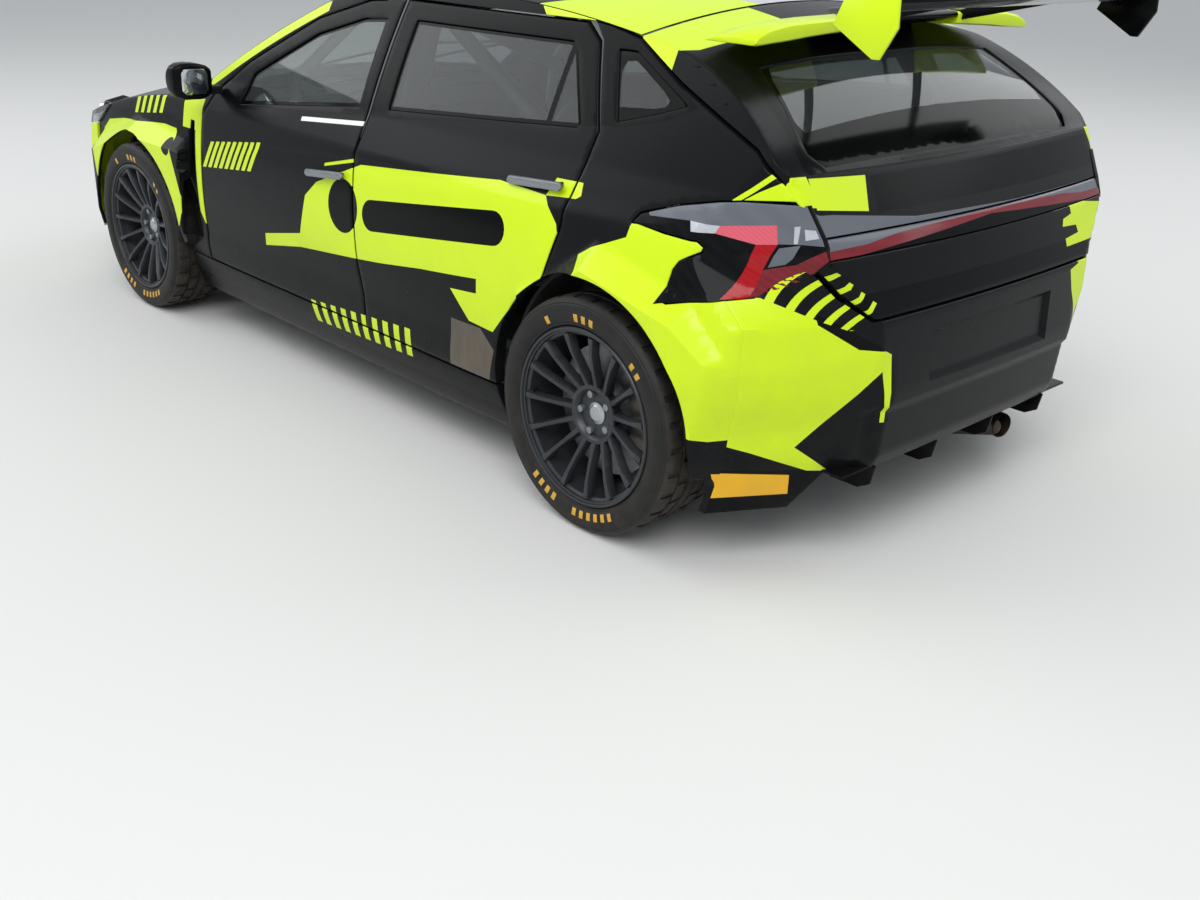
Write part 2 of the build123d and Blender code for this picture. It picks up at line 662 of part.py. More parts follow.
# Posts, sills, wheel housings and rails of the left side
front_liner = axle_drum(FRONT_AXLE_X, TYRE_RADIUS, FRONT_ARCH_RADIUS + LINER_WALL, ARCH_INNER_Y - 8, 800)
front_liner = front_liner - axle_drum(
    FRONT_AXLE_X, TYRE_RADIUS, FRONT_ARCH_RADIUS, ARCH_INNER_Y - 8, 800)
rear_house = axle_drum(REAR_AXLE_X, TYRE_RADIUS, REAR_ARCH_RADIUS + LINER_WALL, REAR_HOUSE_Y, 790)
rear_house = rear_house - axle_drum(
    REAR_AXLE_X, TYRE_RADIUS, REAR_ARCH_RADIUS, REAR_HOUSE_Y + LINER_WALL, 790)
rear_house = rear_house & block(-1800, -900, 500, 900, 186, 900) & inner
rear_house = rear_house - axle_drum(REAR_AXLE_X, TYRE_RADIUS, 150, REAR_HOUSE_Y - 5, REAR_HOUSE_Y + 20)
frame_pieces = [
    block(-1016, 735, 640, SILL_Y, FLOOR_Z, 330),
    block(560, 735, 640, FRONT_POST_Y, 187, 850) & inner,
    block(590, 735, 640, SILL_Y, 840, 935),
    block(-420, -330, 690, REAR_POST_Y, 187, 900) & inner,
    rod((-375, 712, 880), (-368, 560, 1290), 30) & inner,
    block(690, 1830, 380, 450, 340, 440),
    block(1800, 2000, 380, 450, 434, 490) & inner,
    block(1800, 1830, 380, 450, 340, 490),
    block(1120, 1254, 430, 640, 700, 760),
    block(1120, 1254, 420, 482, 420, 760),
    front_liner & block(700, 1600, 400, 900, 480, 900) & inner,
    rear_house,
]
for frame in FRONT_DOOR_HINGES:
    frame_pieces.append(frame * hinge_fixed(FRONT_HINGE_Y - FRONT_POST_Y + 5))
for frame in REAR_DOOR_HINGES:
    frame_pieces.append(frame * hinge_fixed(REAR_HINGE_Y - REAR_POST_Y + 5))

# Bulkheads, tunnel, raised rear floor, headers and lid hinges
cross_pieces = [
    block(690, 735, -700, 700, 180, 850) & inner,
    block(735, 925, -690, 690, 800, 846) & inner,
    block(900, 975, -560, 560, 780, 804),
    block(930, 975, -290, 290, 800, 846),
    block(1800, 1830, -450, 450, 340, 440),
    block(FLOOR_STEP_X - 12, 735, -TUNNEL_HALF - 12, TUNNEL_HALF + 12, FLOOR_Z, TUNNEL_TOP + 12),
    block(FLOOR_STEP_X - 12, FLOOR_STEP_X, -612, 612, FLOOR_Z, REAR_FLOOR_Z + 12),
    block(-1840, FLOOR_STEP_X, -624, 624, REAR_FLOOR_Z, REAR_FLOOR_Z + 12),
    block(-1840, -1812, -690, 690, REAR_FLOOR_Z, 640) & inner,
    (block(-1300, -1250, -560, 560, 1215, 1340) & inner) - tailgate_sweep,
    block(-1350, -1250, -TAILGATE_HINGE_Y - 40, TAILGATE_HINGE_Y + 40, 1222, 1240),
]
for frame in BONNET_HINGES:
    cross_pieces.append(frame * hinge_fixed(BONNET_HINGE_Z - 840, LID_PIN_RADIUS))
for frame in TAILGATE_HINGES:
    cross_pieces.append(frame * hinge_fixed(60, LID_PIN_RADIUS))
scoop = side_cut(SCOOP_SIDE, -SCOOP_HALF, SCOOP_HALF)
scoop_mouth = side_cut(SCOOP_MOUTH_SIDE, SCOOP_WALL - SCOOP_HALF, SCOOP_HALF - SCOOP_WALL)
cross_pieces.append(scoop - inner)
body = body.fuse(*cross_pieces, *frame_pieces, *[mirror_left(piece) for piece in frame_pieces])
body = body.cut(scoop_mouth, block(-1200, 745, -TUNNEL_HALF, TUNNEL_HALF, 100, TUNNEL_TOP))
body = one_solid(body)

# Rims, tyres and discs, made about the origin with the outer face toward +Y
def wheel_revolve(points):
    with BuildSketch(Plane.XY) as sketch:
        with BuildLine():
            Polyline(*points, close=True)
        make_face()
    return revolve(sketch.sketch, Axis.Y)


half_rim = RIM_WIDTH / 2
rim_shape = wheel_revolve((
    (RIM_FLANGE_RADIUS, half_rim), (RIM_FLANGE_RADIUS, half_rim - 9), (BEAD_RADIUS, half_rim - 12),
    (BEAD_RADIUS, half_rim - 40), (BARREL_RADIUS + 4, half_rim - 60), (BARREL_RADIUS + 4, 40 - half_rim),
    (BEAD_RADIUS, 30 - half_rim), (BEAD_RADIUS, 12 - half_rim), (RIM_FLANGE_RADIUS, 9 - half_rim),
    (RIM_FLANGE_RADIUS, -half_rim), (BEAD_RADIUS - 4, -half_rim), (BEAD_RADIUS - 6, 20 - half_rim),
    (BARREL_RADIUS - 5, 50 - half_rim), (BARREL_RADIUS - 5, half_rim - 70),
    (BEAD_RADIUS - 8, half_rim - 40), (BEAD_RADIUS - 4, half_rim),
))
hub_face = 30
disc_middle = -4
rim_shape += wheel_revolve((
    (SPINDLE_RADIUS + RUNNING_GAP, hub_face), (HUB_RADIUS, hub_face), (HUB_RADIUS + 8, hub_face + 34),
    (HUB_RADIUS - 8, hub_face + 36), (HUB_RADIUS - 20, hub_face + 18),
    (SPINDLE_RADIUS + RUNNING_GAP, hub_face + 18),
))
spoke_profile = Polyline(
    (HUB_RADIUS - 6, hub_face + 2), (HUB_RADIUS - 6, hub_face + 34), (BARREL_RADIUS - 40, half_rim - 12),
    (BEAD_RADIUS - 6, half_rim - 6), (BEAD_RADIUS - 6, half_rim - 34), (BARREL_RADIUS - 40, half_rim - 40),
    close=True)
spoke = extrude(make_face(spoke_profile), amount=7, both=True)
for number in range(SPOKES):
    rim_shape += Rotation(0, number * 360 / SPOKES, 0) * spoke
for number in range(5):
    angle = radians(90 + number * 72)
    x = BOLT_CIRCLE / 2 * cos(angle)
    z = BOLT_CIRCLE / 2 * sin(angle)
    rim_shape -= rod((x, hub_face - 5, z), (x, hub_face + 40, z), BOLT_HOLE / 2)
rim_shape = one_solid(rim_shape)

half_tyre = TYRE_WIDTH / 2
tyre_shape = wheel_revolve((
    (BEAD_RADIUS, half_rim - 12), (RIM_FLANGE_RADIUS, half_rim - 9), (RIM_FLANGE_RADIUS + 6, half_rim - 2),
    (280, half_tyre), (305, half_tyre - 4), (TYRE_RADIUS, half_tyre - 30),
    (TYRE_RADIUS, 30 - half_tyre), (305, 4 - half_tyre),
    (280, -half_tyre), (RIM_FLANGE_RADIUS + 6, 2 - half_rim), (RIM_FLANGE_RADIUS, 9 - half_rim),
    (BEAD_RADIUS, 12 - half_rim),
))
disc_out = disc_middle + DISC_THICK / 2
disc_in = disc_middle - DISC_THICK / 2
disc_shape = wheel_revolve((
    (SPINDLE_RADIUS + RUNNING_GAP, hub_face), (HUB_RADIUS, hub_face), (HUB_RADIUS, disc_out),
    (DISC_RADIUS, disc_out), (DISC_RADIUS, disc_in), (HUB_RADIUS - 12, disc_in),
    (HUB_RADIUS - 12, hub_face - 12), (SPINDLE_RADIUS + RUNNING_GAP, hub_face - 12),
))
for number in range(5):
    angle = radians(90 + number * 72)
    x = BOLT_CIRCLE / 2 * cos(angle)
    z = BOLT_CIRCLE / 2 * sin(angle)
    disc_shape -= rod((x, -40, z), (x, hub_face + 10, z), BOLT_HOLE / 2)


def at_wheel(shape, x, side):
    shape = Location((x, WHEEL_Y, TYRE_RADIUS)) * shape
    return shape if side > 0 else mirror_left(shape)


def caliper(angle_low, angle_high):
    """Brake caliper bridging the disc, about the wheel middle."""
    middle_y = disc_middle
    half = DISC_THICK / 2 + 24
    ring = rod((0, middle_y - half, 0), (0, middle_y + half, 0), 196)
    ring = ring - rod((0, middle_y - half, 0), (0, middle_y + half, 0), 118)
    ring = ring - rod((0, middle_y - DISC_THICK / 2 - 3, 0), (0, middle_y + DISC_THICK / 2 + 3, 0),
                      DISC_RADIUS + 3)
    low, high = radians(angle_low), radians(angle_high)
    far = 400
    with BuildSketch(Plane.XZ.offset(-middle_y - half)) as sketch:
        with BuildLine():
            Polyline((0, 0), (far * cos(low), far * sin(low)), (far * cos(high), far * sin(high)),
                     close=True)
        make_face()
    return ring & extrude(sketch.sketch, amount=2 * half)


# Knuckle about the wheel middle: spindle, upright, ball pins on the steering line, caliper
pin_y = KINGPIN_Y - WHEEL_Y
upright_in = disc_in - 6
spindle = rod((0, upright_in - 4, 0), (0, hub_face + 16, 0), SPINDLE_RADIUS)
carrier = block(-38, 38, upright_in - 40, upright_in, -85, 85)
knuckle_core = spindle + carrier + block(-30, 30, pin_y - 30, upright_in - 20, -85, 85)
knuckle = knuckle_core + rod((0, pin_y, -BALL_REACH - 18), (0, pin_y, BALL_REACH + 18), BALL_PIN_RADIUS)
caliper_front = caliper(140, 215)
caliper_link = block(-175, -20, upright_in - 24, upright_in - 1, -30, 30)
knuckle = one_solid(knuckle + caliper_front + caliper_link)
carrier_rear = spindle + block(-45, 45, upright_in - 60, upright_in, -90, 90)
carrier_rear = one_solid(carrier_rear + caliper(140, 215) + caliper_link)


# Suspension of the left side: lower and upper arms, coil-over, rear links
def arm_eye(z):
    eye = rod((FRONT_AXLE_X, KINGPIN_Y, z - 12), (FRONT_AXLE_X, KINGPIN_Y, z + 12), 26)
    return eye - rod((FRONT_AXLE_X, KINGPIN_Y, z - 13), (FRONT_AXLE_X, KINGPIN_Y, z + 13),
                     BALL_PIN_RADIUS + RUNNING_GAP)


def bored(shape, z):
    return shape - rod((FRONT_AXLE_X, KINGPIN_Y, z - 60), (FRONT_AXLE_X, KINGPIN_Y, z + 60),
                       BALL_PIN_RADIUS + RUNNING_GAP)


low_z = TYRE_RADIUS - BALL_REACH
high_z = TYRE_RADIUS + BALL_REACH
lower_arm = rod((FRONT_AXLE_X - 120, 400, low_z + 10), (FRONT_AXLE_X, KINGPIN_Y - 12, low_z), 14)
lower_arm += rod((FRONT_AXLE_X + 120, 400, low_z + 10), (FRONT_AXLE_X, KINGPIN_Y - 12, low_z), 14)
lower_arm = one_solid(bored(lower_arm, low_z) + arm_eye(low_z))
upper_arm = rod((FRONT_AXLE_X, 482, high_z), (FRONT_AXLE_X, KINGPIN_Y - 12, high_z), 11)
upper_arm = one_solid(bored(upper_arm, high_z) + arm_eye(high_z))
strut_front = rod((FRONT_AXLE_X, 600, high_z - 6), (FRONT_AXLE_X, 575, 720), 24)
strut_front = strut_front & axle_drum(FRONT_AXLE_X, TYRE_RADIUS, FRONT_ARCH_RADIUS - SEAT_GAP, 400, 900)
upper_arm = one_solid(upper_arm + strut_front)
crossbar = block(FRONT_AXLE_X - 150, FRONT_AXLE_X + 150, -402, 402, 196, 232)
rear_beam = block(REAR_AXLE_X - 160, REAR_AXLE_X + 160, -400, 400, 190, 226)
rear_arms = []
for reach in (-110, 110):
    rear_arms.append(rod((REAR_AXLE_X + reach, 400, 216), (REAR_AXLE_X, 690, 250), 13))
rear_strut = rod((REAR_AXLE_X, 585, 240), (REAR_AXLE_X, 580, REAR_FLOOR_Z), 26)
rear_side = Location((REAR_AXLE_X, WHEEL_Y, TYRE_RADIUS)) * carrier_rear
rear_shaft = rod((REAR_AXLE_X, 100, TYRE_RADIUS), (REAR_AXLE_X, 730, TYRE_RADIUS), SHAFT_RADIUS)
beam_mounts = block(REAR_AXLE_X - 160, REAR_AXLE_X + 160, 350, 390, 220, REAR_FLOOR_Z)
rear_side = rear_side.fuse(*rear_arms, rear_strut, rear_shaft, beam_mounts)
rear_side = rear_side - block(-1800, -1000, 300, 612, REAR_FLOOR_Z, 600)
differential = block(REAR_AXLE_X - 120, REAR_AXLE_X + 120, -110, 110, 220, 350)
suspension_front = crossbar + lower_arm + mirror_left(lower_arm)
suspension_rear = one_solid(rear_beam.fuse(differential, rear_side, mirror_left(rear_side)))

# Engine and gearbox block with its mounts, drive shafts, propshaft, exhaust, guard
engine = block(*ENGINE_X, -ENGINE_HALF, ENGINE_HALF, *ENGINE_Z)
engine = engine + block(1200, 1280, -380, 380, 380, 420)
drive_shafts = rod((FRONT_AXLE_X, ENGINE_HALF, TYRE_RADIUS), (FRONT_AXLE_X, 680, TYRE_RADIUS), SHAFT_RADIUS)
propshaft = rod((ENGINE_X[0], 45, PROPSHAFT_Z), (REAR_AXLE_X + 120, 0, PROPSHAFT_Z), PROPSHAFT_RADIUS)
propshaft = propshaft - engine - differential
guard = block(800, 1790, -420, 420, 150, 160)
EXHAUST_RUN = (
    (ENGINE_X[0], -80, 285), (640, -80, 225), (-1080, -80, 225), (-1220, -80, 152), (-1700, -120, 152),
    (-1945, -240, 190),
)
exhaust = None
for start, end in zip(EXHAUST_RUN, EXHAUST_RUN[1:]):
    pipe = rod(start, end, EXHAUST_RADIUS) + Location(end) * Sphere(EXHAUST_RADIUS)
    exhaust = pipe if exhaust is None else exhaust + pipe
exhaust = exhaust + rod((200, -80, 218), (-500, -80, 218), 50)
exhaust = one_solid(exhaust - engine)

# Roll cage
CAGE_RADIUS = 20
CAGE_Y = 598
HOOP_X = -300
cage_points = {
    "sill_a": (540, CAGE_Y, 180), "corner_a": (420, CAGE_Y, 960), "header": (90, 520, 1210),
    "hoop_low": (HOOP_X, CAGE_Y, 180), "hoop_mid": (HOOP_X, CAGE_Y, 900), "hoop_top": (HOOP_X, 525, 1250),
    "rear_low": (-1330, 500, 620), "hoop_cross": (HOOP_X, 0, 1262), "header_cross": (90, 0, 1225),
}
CAGE_BARS = (
    ("sill_a", "corner_a"), ("corner_a", "header"), ("header", "hoop_top"),
    ("hoop_low", "hoop_mid"), ("hoop_mid", "hoop_top"), ("hoop_top", "rear_low"),
    ("hoop_top", "hoop_cross"), ("header", "header_cross"),
)
cage = None
for first, last in CAGE_BARS:
    bar = rod(cage_points[first], cage_points[last], CAGE_RADIUS)
    bar = bar + Location(cage_points[first]) * Sphere(CAGE_RADIUS)
    bar = bar + Location(cage_points[last]) * Sphere(CAGE_RADIUS)
    cage = bar if cage is None else cage + bar
door_bars = [
    rod((540, CAGE_Y, 620), (HOOP_X, CAGE_Y, 300), CAGE_RADIUS),
    rod((540, CAGE_Y, 300), (HOOP_X, CAGE_Y, 620), CAGE_RADIUS),
    block(-1350, -1310, 470, 530, REAR_FLOOR_Z + 12, 620),
]
left_cage = cage.fuse(*door_bars)
hoop_top = cage_points["hoop_top"]
cage = left_cage.fuse(
    mirror_left(left_cage),
    rod(hoop_top, (HOOP_X, -CAGE_Y, 300), CAGE_RADIUS),
    rod(hoop_top, (-1330, -500, 620), CAGE_RADIUS),
    rod((HOOP_X, -hoop_top[1], hoop_top[2]), (-1330, 500, 620), CAGE_RADIUS),
)
cage = one_solid(cage & inner)

# Bucket seats, dashboard, steering wheel
def bucket_seat(y):
    back = side_cut(SEAT_BACK_SIDE, y + 16 - SEAT_HALF, y + SEAT_HALF - 16)
    sides = side_cut(SEAT_SHELL_SIDE, y - SEAT_HALF, y + SEAT_HALF)
    room = side_cut(SEAT_ROOM_SIDE, y + 30 - SEAT_HALF, y + SEAT_HALF - 30)
    sides = sides - room
    base = block(-40, 280, y - 180, y + 180, FLOOR_Z + FLOOR_WALL, 300)
    return one_solid(back + sides + base)


seats = both_sides(bucket_seat(SEAT_Y))
dashboard = side_cut(DASH_SIDE, -DASH_Y, DASH_Y)
WHEEL_TILT = 24
column_start = Vector(300, SEAT_Y, 745)
wheel_plane = Plane(origin=column_start, z_dir=(cos(radians(WHEEL_TILT)), 0, -sin(radians(WHEEL_TILT))))
steering_wheel = wheel_plane * Torus(STEERING_WHEEL_RADIUS, 14)
steering_wheel += wheel_plane * Cylinder(34, 24)
for turn in (0, 120, 240):
    arm = Location((STEERING_WHEEL_RADIUS / 2, 0, 0)) * Box(STEERING_WHEEL_RADIUS, 28, 8)
    steering_wheel += wheel_plane * (Rotation(0, 0, turn + 30) * arm)
steering_wheel += wheel_plane * Cylinder(COLUMN_RADIUS, 135, align=(Align.CENTER, Align.CENTER, Align.MIN))
steering_wheel = one_solid(steering_wheel)
dashboard = one_solid(dashboard - wheel_plane * Cylinder(COLUMN_RADIUS + SEAT_GAP, 300))

# Mirror on the front door
def mirror_section(y, back, nose, low, high):
    belly = nose - (high - low) / 2
    with BuildSketch(Plane.XZ.offset(-y)) as sketch:
        with BuildLine():
            Line((back, low), (belly, low))
            ThreePointArc((belly, low), (nose, (low + high) / 2), (belly, high))
            Polyline((belly, high), (back, high), (back, low))
        make_face()
    return sketch.sketch


mirror_head = loft([mirror_section(*row) for row in MIRROR_SECTIONS])
mirror_recess = block(500, 534, 878, 976, 912, 994)
mirror_stalk = block(556, 604, 770, 900, 904, 926)
door_mirror = (mirror_head + mirror_stalk) - mirror_recess - outer
door_mirror = one_solid(door_mirror)

# Rear wing: spoiler over the tailgate, plane, end plates and struts
spoiler = side_cut(SPOILER_SIDE, -SPOILER_Y, SPOILER_Y) - outer
plate_in, plate_out = WING_PLATE_Y
plane = side_cut(WING_PLANE_SIDE, -plate_in - 4, plate_in + 4)
plate_left = side_cut(WING_PLATE_SIDE, plate_in, plate_out)
wing_parts = spoiler.fuse(plane, plate_left, mirror_left(plate_left))
for y in WING_STRUTS_Y:
    strut = side_cut(WING_STRUT_SIDE, y - WING_STRUT_HALF, y + WING_STRUT_HALF)
    wing_parts = wing_parts + (strut - outer)
rear_wing = one_solid(wing_parts)

NODES = {
    "body_shell": body,
    "bonnet": bonnet,
    "front_wings": both_sides(wing),
    "rear_quarters": both_sides(quarter),
    "side_skirts": both_sides(skirt),
    "front_bumper": front_bumper,
    "rear_bumper": rear_bumper,
    "grille": grille,
    "headlamps": both_sides(headlamp),
    "tail_lamps": both_sides(tail_lamp),
    "windscreen": windscreen,
    "quarter_glass": both_sides(quarter_glass),
    "tailgate": tailgate,
    "tailgate_glass": tailgate_glass,
    "light_bar": light_bar,
    "rear_wing": rear_wing,
    "suspension_front": suspension_front,
    "suspension_rear": suspension_rear,
    "upper_arms": both_sides(upper_arm),
    "engine_block": engine,
    "drive_shafts": both_sides(drive_shafts),
    "propshaft": propshaft,
    "sump_guard": guard,
    "exhaust": exhaust,
    "roll_cage": cage,
    "seats": seats,
    "dashboard": dashboard,
    "steering_wheel": steering_wheel,
}
for name, side in (("left", 1), ("right", -1)):
    put = (lambda shape: shape) if side > 0 else mirror_left
    NODES["door_front_" + name] = put(door_front)
    NODES["door_rear_" + name] = put(door_rear)
    NODES["glass_front_" + name] = put(glass_front)
    NODES["glass_rear_" + name] = put(glass_rear)
    NODES["mirror_" + name] = put(door_mirror)
    NODES["knuckle_" + name] = at_wheel(knuckle, FRONT_AXLE_X, side)
    for place, x in (("front", FRONT_AXLE_X), ("rear", REAR_AXLE_X)):
        NODES["rim_" + place + "_" + name] = at_wheel(rim_shape, x, side)
        NODES["tyre_" + place + "_" + name] = at_wheel(tyre_shape, x, side)
        NODES["disc_" + place + "_" + name] = at_wheel(disc_shape, x, side)

for node, shape in NODES.items():
    shape.label = node
    export_step(shape, "parts/" + node + ".step")
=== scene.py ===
"""Five-door rally hatchback dressed in Blender over its CAD frame.
X forward, Y to the left, Z up. The tables are in millimetres, the scene is in metres."""
import json
from bisect import bisect_right
from math import cos, dist, pi, radians, sin, sqrt

import bmesh
import bpy
import numpy as np
from mathutils import Matrix, Vector
from mathutils.geometry import delaunay_2d_cdt

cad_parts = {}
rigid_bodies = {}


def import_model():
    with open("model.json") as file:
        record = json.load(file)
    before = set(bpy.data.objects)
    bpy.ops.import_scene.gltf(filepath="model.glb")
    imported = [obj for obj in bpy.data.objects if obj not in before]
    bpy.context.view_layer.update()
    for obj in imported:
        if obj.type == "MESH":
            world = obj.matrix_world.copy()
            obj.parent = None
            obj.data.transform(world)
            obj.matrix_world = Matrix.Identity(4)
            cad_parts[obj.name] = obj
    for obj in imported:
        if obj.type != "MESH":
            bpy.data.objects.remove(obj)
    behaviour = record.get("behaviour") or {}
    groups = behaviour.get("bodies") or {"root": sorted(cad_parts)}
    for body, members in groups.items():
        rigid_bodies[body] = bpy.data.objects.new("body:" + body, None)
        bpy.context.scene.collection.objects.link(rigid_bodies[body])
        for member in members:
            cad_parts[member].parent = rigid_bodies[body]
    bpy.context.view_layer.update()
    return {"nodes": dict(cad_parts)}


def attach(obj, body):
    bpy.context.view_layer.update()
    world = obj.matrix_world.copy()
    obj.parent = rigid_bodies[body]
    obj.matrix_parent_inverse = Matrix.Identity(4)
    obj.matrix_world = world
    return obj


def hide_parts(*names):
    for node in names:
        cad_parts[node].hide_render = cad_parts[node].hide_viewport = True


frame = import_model()
MM = 0.001

# Body form, the same sizes as the CAD body
# columns: x, floor edge, sill, widest, shoulder, belt, roof edge
SECTIONS = (
    (-2200, 720, 765, 790, 752, 700, 500),
    (-1393, 790, 838, 864, 838, 778, 590),
    (-100, 805, 850, 872, 846, 798, 618),
    (1187, 780, 825, 850, 822, 765, 580),
    (2200, 690, 735, 765, 730, 690, 480),
)
# columns: x, z, x moved at the side, z moved at the side
TOP_LINE = (
    (2200, 470, -140, -40), (2095, 620, -140, -70), (1950, 712, -140, -90),
    (1450, 848, -160, -75), (915, 915, -180, -60), (515, 1128, -120, -100),
    (90, 1318, -60, -150), (-640, 1376, 0, -150), (-1480, 1296, 0, -150),
    (-1690, 1160, 20, -50), (-1868, 1010, 40, -12), (-2200, 905, 0, -12),
)
TOP_SIDE_Y = 950
# columns: z, front middle x, front corner x, front corner y, front side x,
#          rear middle x, rear corner x, rear corner y, rear side x
PLANS = (
    (140, 1900, 1860, 520, 1560, -1950, -1945, 480, -1700),
    (300, 1995, 1955, 520, 1640, -2022, -2016, 480, -1740),
    (480, 2020, 1975, 520, 1660, -2037.5, -2030, 480, -1765),
    (660, 2010, 1950, 560, 1600, -2030, -2015, 500, -1765),
    (820, 1960, 1880, 600, 1500, -1992, -1952, 650, -1482),
    (1008, 1900, 1800, 640, 1400, -1890, -1850, 690, -1400),
    (1480, 1900, 1800, 640, 1400, -1890, -1850, 690, -1400),
)
PLAN_SIDE_Y = 930
# columns: x, lower z, outer y, top z, y where the top meets the body
FRONT_FLARE = (
    (778, 330, 898, 742, 840), (1187, 330, 910, 752, 835),
    (1560, 260, 892, 640, 830), (1690, 220, 838, 560, 790),
)
REAR_FLARE = (
    (-1850, 260, 866, 600, 760), (-1700, 260, 905, 720, 800), (-1393, 270, 910, 790, 845),
    (-1120, 270, 900, 640, 845), (-1010, 270, 866, 420, 840),
)
FRONT_AXLE = (1187, 322)
REAR_AXLE = (-1393, 322)
FRONT_ARCH = 372
REAR_ARCH = 380
SILL_Z, BODY_Z, SHOULDER_Z, BELT_Z, ROOF_Z = 150, 400, 840, 950, 1330  # heights where the side changes its curve
SKIN_LIFT = 1.3  # a skin over the shell lies this far off it
PANE_SET = 5.3  # a pane lies this far behind the form of the body
BULGE_EDGE = 70  # width of the rolled border of a wheel bulge


# Forms of the body
def arc_value(a, b, c, u):
    """Second coordinate at first coordinate u on the arc through three points."""
    d = 2 * (a[0] * (b[1] - c[1]) + b[0] * (c[1] - a[1]) + c[0] * (a[1] - b[1]))
    if abs(d) < 1e-6:
        return a[1] + (c[1] - a[1]) * (u - a[0]) / (c[0] - a[0])
    sa, sb, sc = (p[0] ** 2 + p[1] ** 2 for p in (a, b, c))
    mu = (sa * (b[1] - c[1]) + sb * (c[1] - a[1]) + sc * (a[1] - b[1])) / d
    mv = (sa * (c[0] - b[0]) + sb * (a[0] - c[0]) + sc * (b[0] - a[0])) / d
    rise = sqrt(max((a[0] - mu) ** 2 + (a[1] - mv) ** 2 - (u - mu) ** 2, 0))
    return mv + rise if b[1] > mv else mv - rise


def section_y(row, z):
    """Half width of one cross section at height z."""
    _, floor, sill, wide, shoulder, belt, roof = row
    low = (sill + wide) / 2 + 6
    if z < BODY_Z:
        return arc_value((SILL_Z, floor), (255, sill), (BODY_Z, low), max(z, SILL_Z))
    if z < SHOULDER_Z:
        return arc_value((BODY_Z, low), (620, wide), (SHOULDER_Z, shoulder), z)
    if z < BELT_Z:
        return shoulder + (belt - shoulder) * (z - SHOULDER_Z) / (BELT_Z - SHOULDER_Z)
    if z < ROOF_Z:
        return arc_value((BELT_Z, belt), (1140, (belt + roof) / 2 + 10), (ROOF_Z, roof), z)
    return roof - 90 * (z - ROOF_Z) / 130


def smooth_through(us, vs, u):
    """Natural cubic through a few values in rising order."""
    n = len(us)
    h = [us[i + 1] - us[i] for i in range(n - 1)]
    c, scale, m, w = [0.0] * n, [1.0] * n, [0.0] * n, [0.0] * n
    for i in range(1, n - 1):
        al = 3 * ((vs[i + 1] - vs[i]) / h[i] - (vs[i] - vs[i - 1]) / h[i - 1])
        scale[i] = 2 * (us[i + 1] - us[i - 1]) - h[i - 1] * m[i - 1]
        m[i] = h[i] / scale[i]
        w[i] = (al - h[i - 1] * w[i - 1]) / scale[i]
    for i in range(n - 2, 0, -1):
        c[i] = w[i] - m[i] * c[i + 1]
    k = min(max(bisect_right(us, u) - 1, 0), n - 2)
    t = u - us[k]
    b = (vs[k + 1] - vs[k]) / h[k] - h[k] * (c[k + 1] + 2 * c[k]) / 3
    return vs[k] + b * t + c[k] * t * t + (c[k + 1] - c[k]) / (3 * h[k]) * t ** 3


def side_y(x, z):
    """Half width of the body without its bulges."""
    return smooth_through([r[0] for r in SECTIONS], [section_y(r, z) for r in SECTIONS], x)


def line_value(points, u):
    """Second coordinate at u on a line through points, 0 off its ends."""
    for (u0, v0), (u1, v1) in zip(points, points[1:]):
        if u0 <= u <= u1:
            return v0 + (v1 - v0) * (u - u0) / (u1 - u0)
    return 0


def flare_y(x, z):
    """Half width over the wheel bulges, 0 where there is none."""
    best = 0
    for table in (FRONT_FLARE, REAR_FLARE):
        rows = sorted(table)
        for a, b in zip(rows, rows[1:]):
            if a[0] <= x <= b[0]:
                t = (x - a[0]) / (b[0] - a[0])
                _, low, outer, top, meet = (p + (q - p) * t for p, q in zip(a, b))
                edge = ((low, outer - 14), (low + BULGE_EDGE, outer), (top - BULGE_EDGE, outer), (top, meet))
                best = max(best, line_value(edge, z))
    return best


def plan_row(z):
    """Row of the plan table at height z."""
    z = min(max(z, PLANS[0][0]), PLANS[-1][0])
    for a, b in zip(PLANS, PLANS[1:]):
        if a[0] <= z <= b[0]:
            t = (z - a[0]) / (b[0] - a[0])
            return [p + (q - p) * t for p, q in zip(a, b)]
    return PLANS[-1]


def tail_x(y, z):
    """Rear end of the body: an arc between its corners, then a straight line to the side."""
    middle, corner, corner_y, side = plan_row(z)[5:]
    y = abs(y)
    if y <= corner_y:
        return arc_value((-corner_y, corner), (0, middle), (corner_y, corner), y)
    return corner + (side - corner) * (y - corner_y) / (PLAN_SIDE_Y - corner_y)


def plan_y(x, z):
    """Half width that the rounded ends leave at x."""
    _, _, nose, nose_y, nose_side, _, tail, tail_y, tail_side = plan_row(z)
    if x < tail_side:
        return tail_y + (x - tail) * (PLAN_SIDE_Y - tail_y) / (tail_side - tail)
    if x > nose_side:
        return nose_y + (x - nose) * (PLAN_SIDE_Y - nose_y) / (nose_side - nose)
    return PLAN_SIDE_Y


def top_z(x, y):
    """Height of the top: arcs through the points of its line, which sink toward the side."""
    s = (y / TOP_SIDE_Y) ** 2
    at = [(px + sx * s, pz + sz * s) for px, pz, sx, sz in TOP_LINE]
    for k in (0, 2, 4, 6, 8):
        if at[k][0] >= x >= at[k + 2][0]:
            return arc_value(at[k], at[k + 1], at[k + 2], x)
    if x < at[10][0]:
        return at[10][1] + (at[11][1] - at[10][1]) * (x - at[10][0]) / (at[11][0] - at[10][0])
    return at[0][1]


def rim_line(x):
    """Height of the long edge where the side meets the top at x."""
    low, high = 500, 1400
    for _ in range(24):
        z = (low + high) / 2
        if z < top_z(x, side_y(x, z)):
            low = z
        else:
            high = z
    return low


def bump(u, centre, half):
    """Smooth rise from 0 to 1 and back over a band."""
    t = abs(u - centre) / half
    return 0 if t >= 1 else (1 - t * t) ** 2


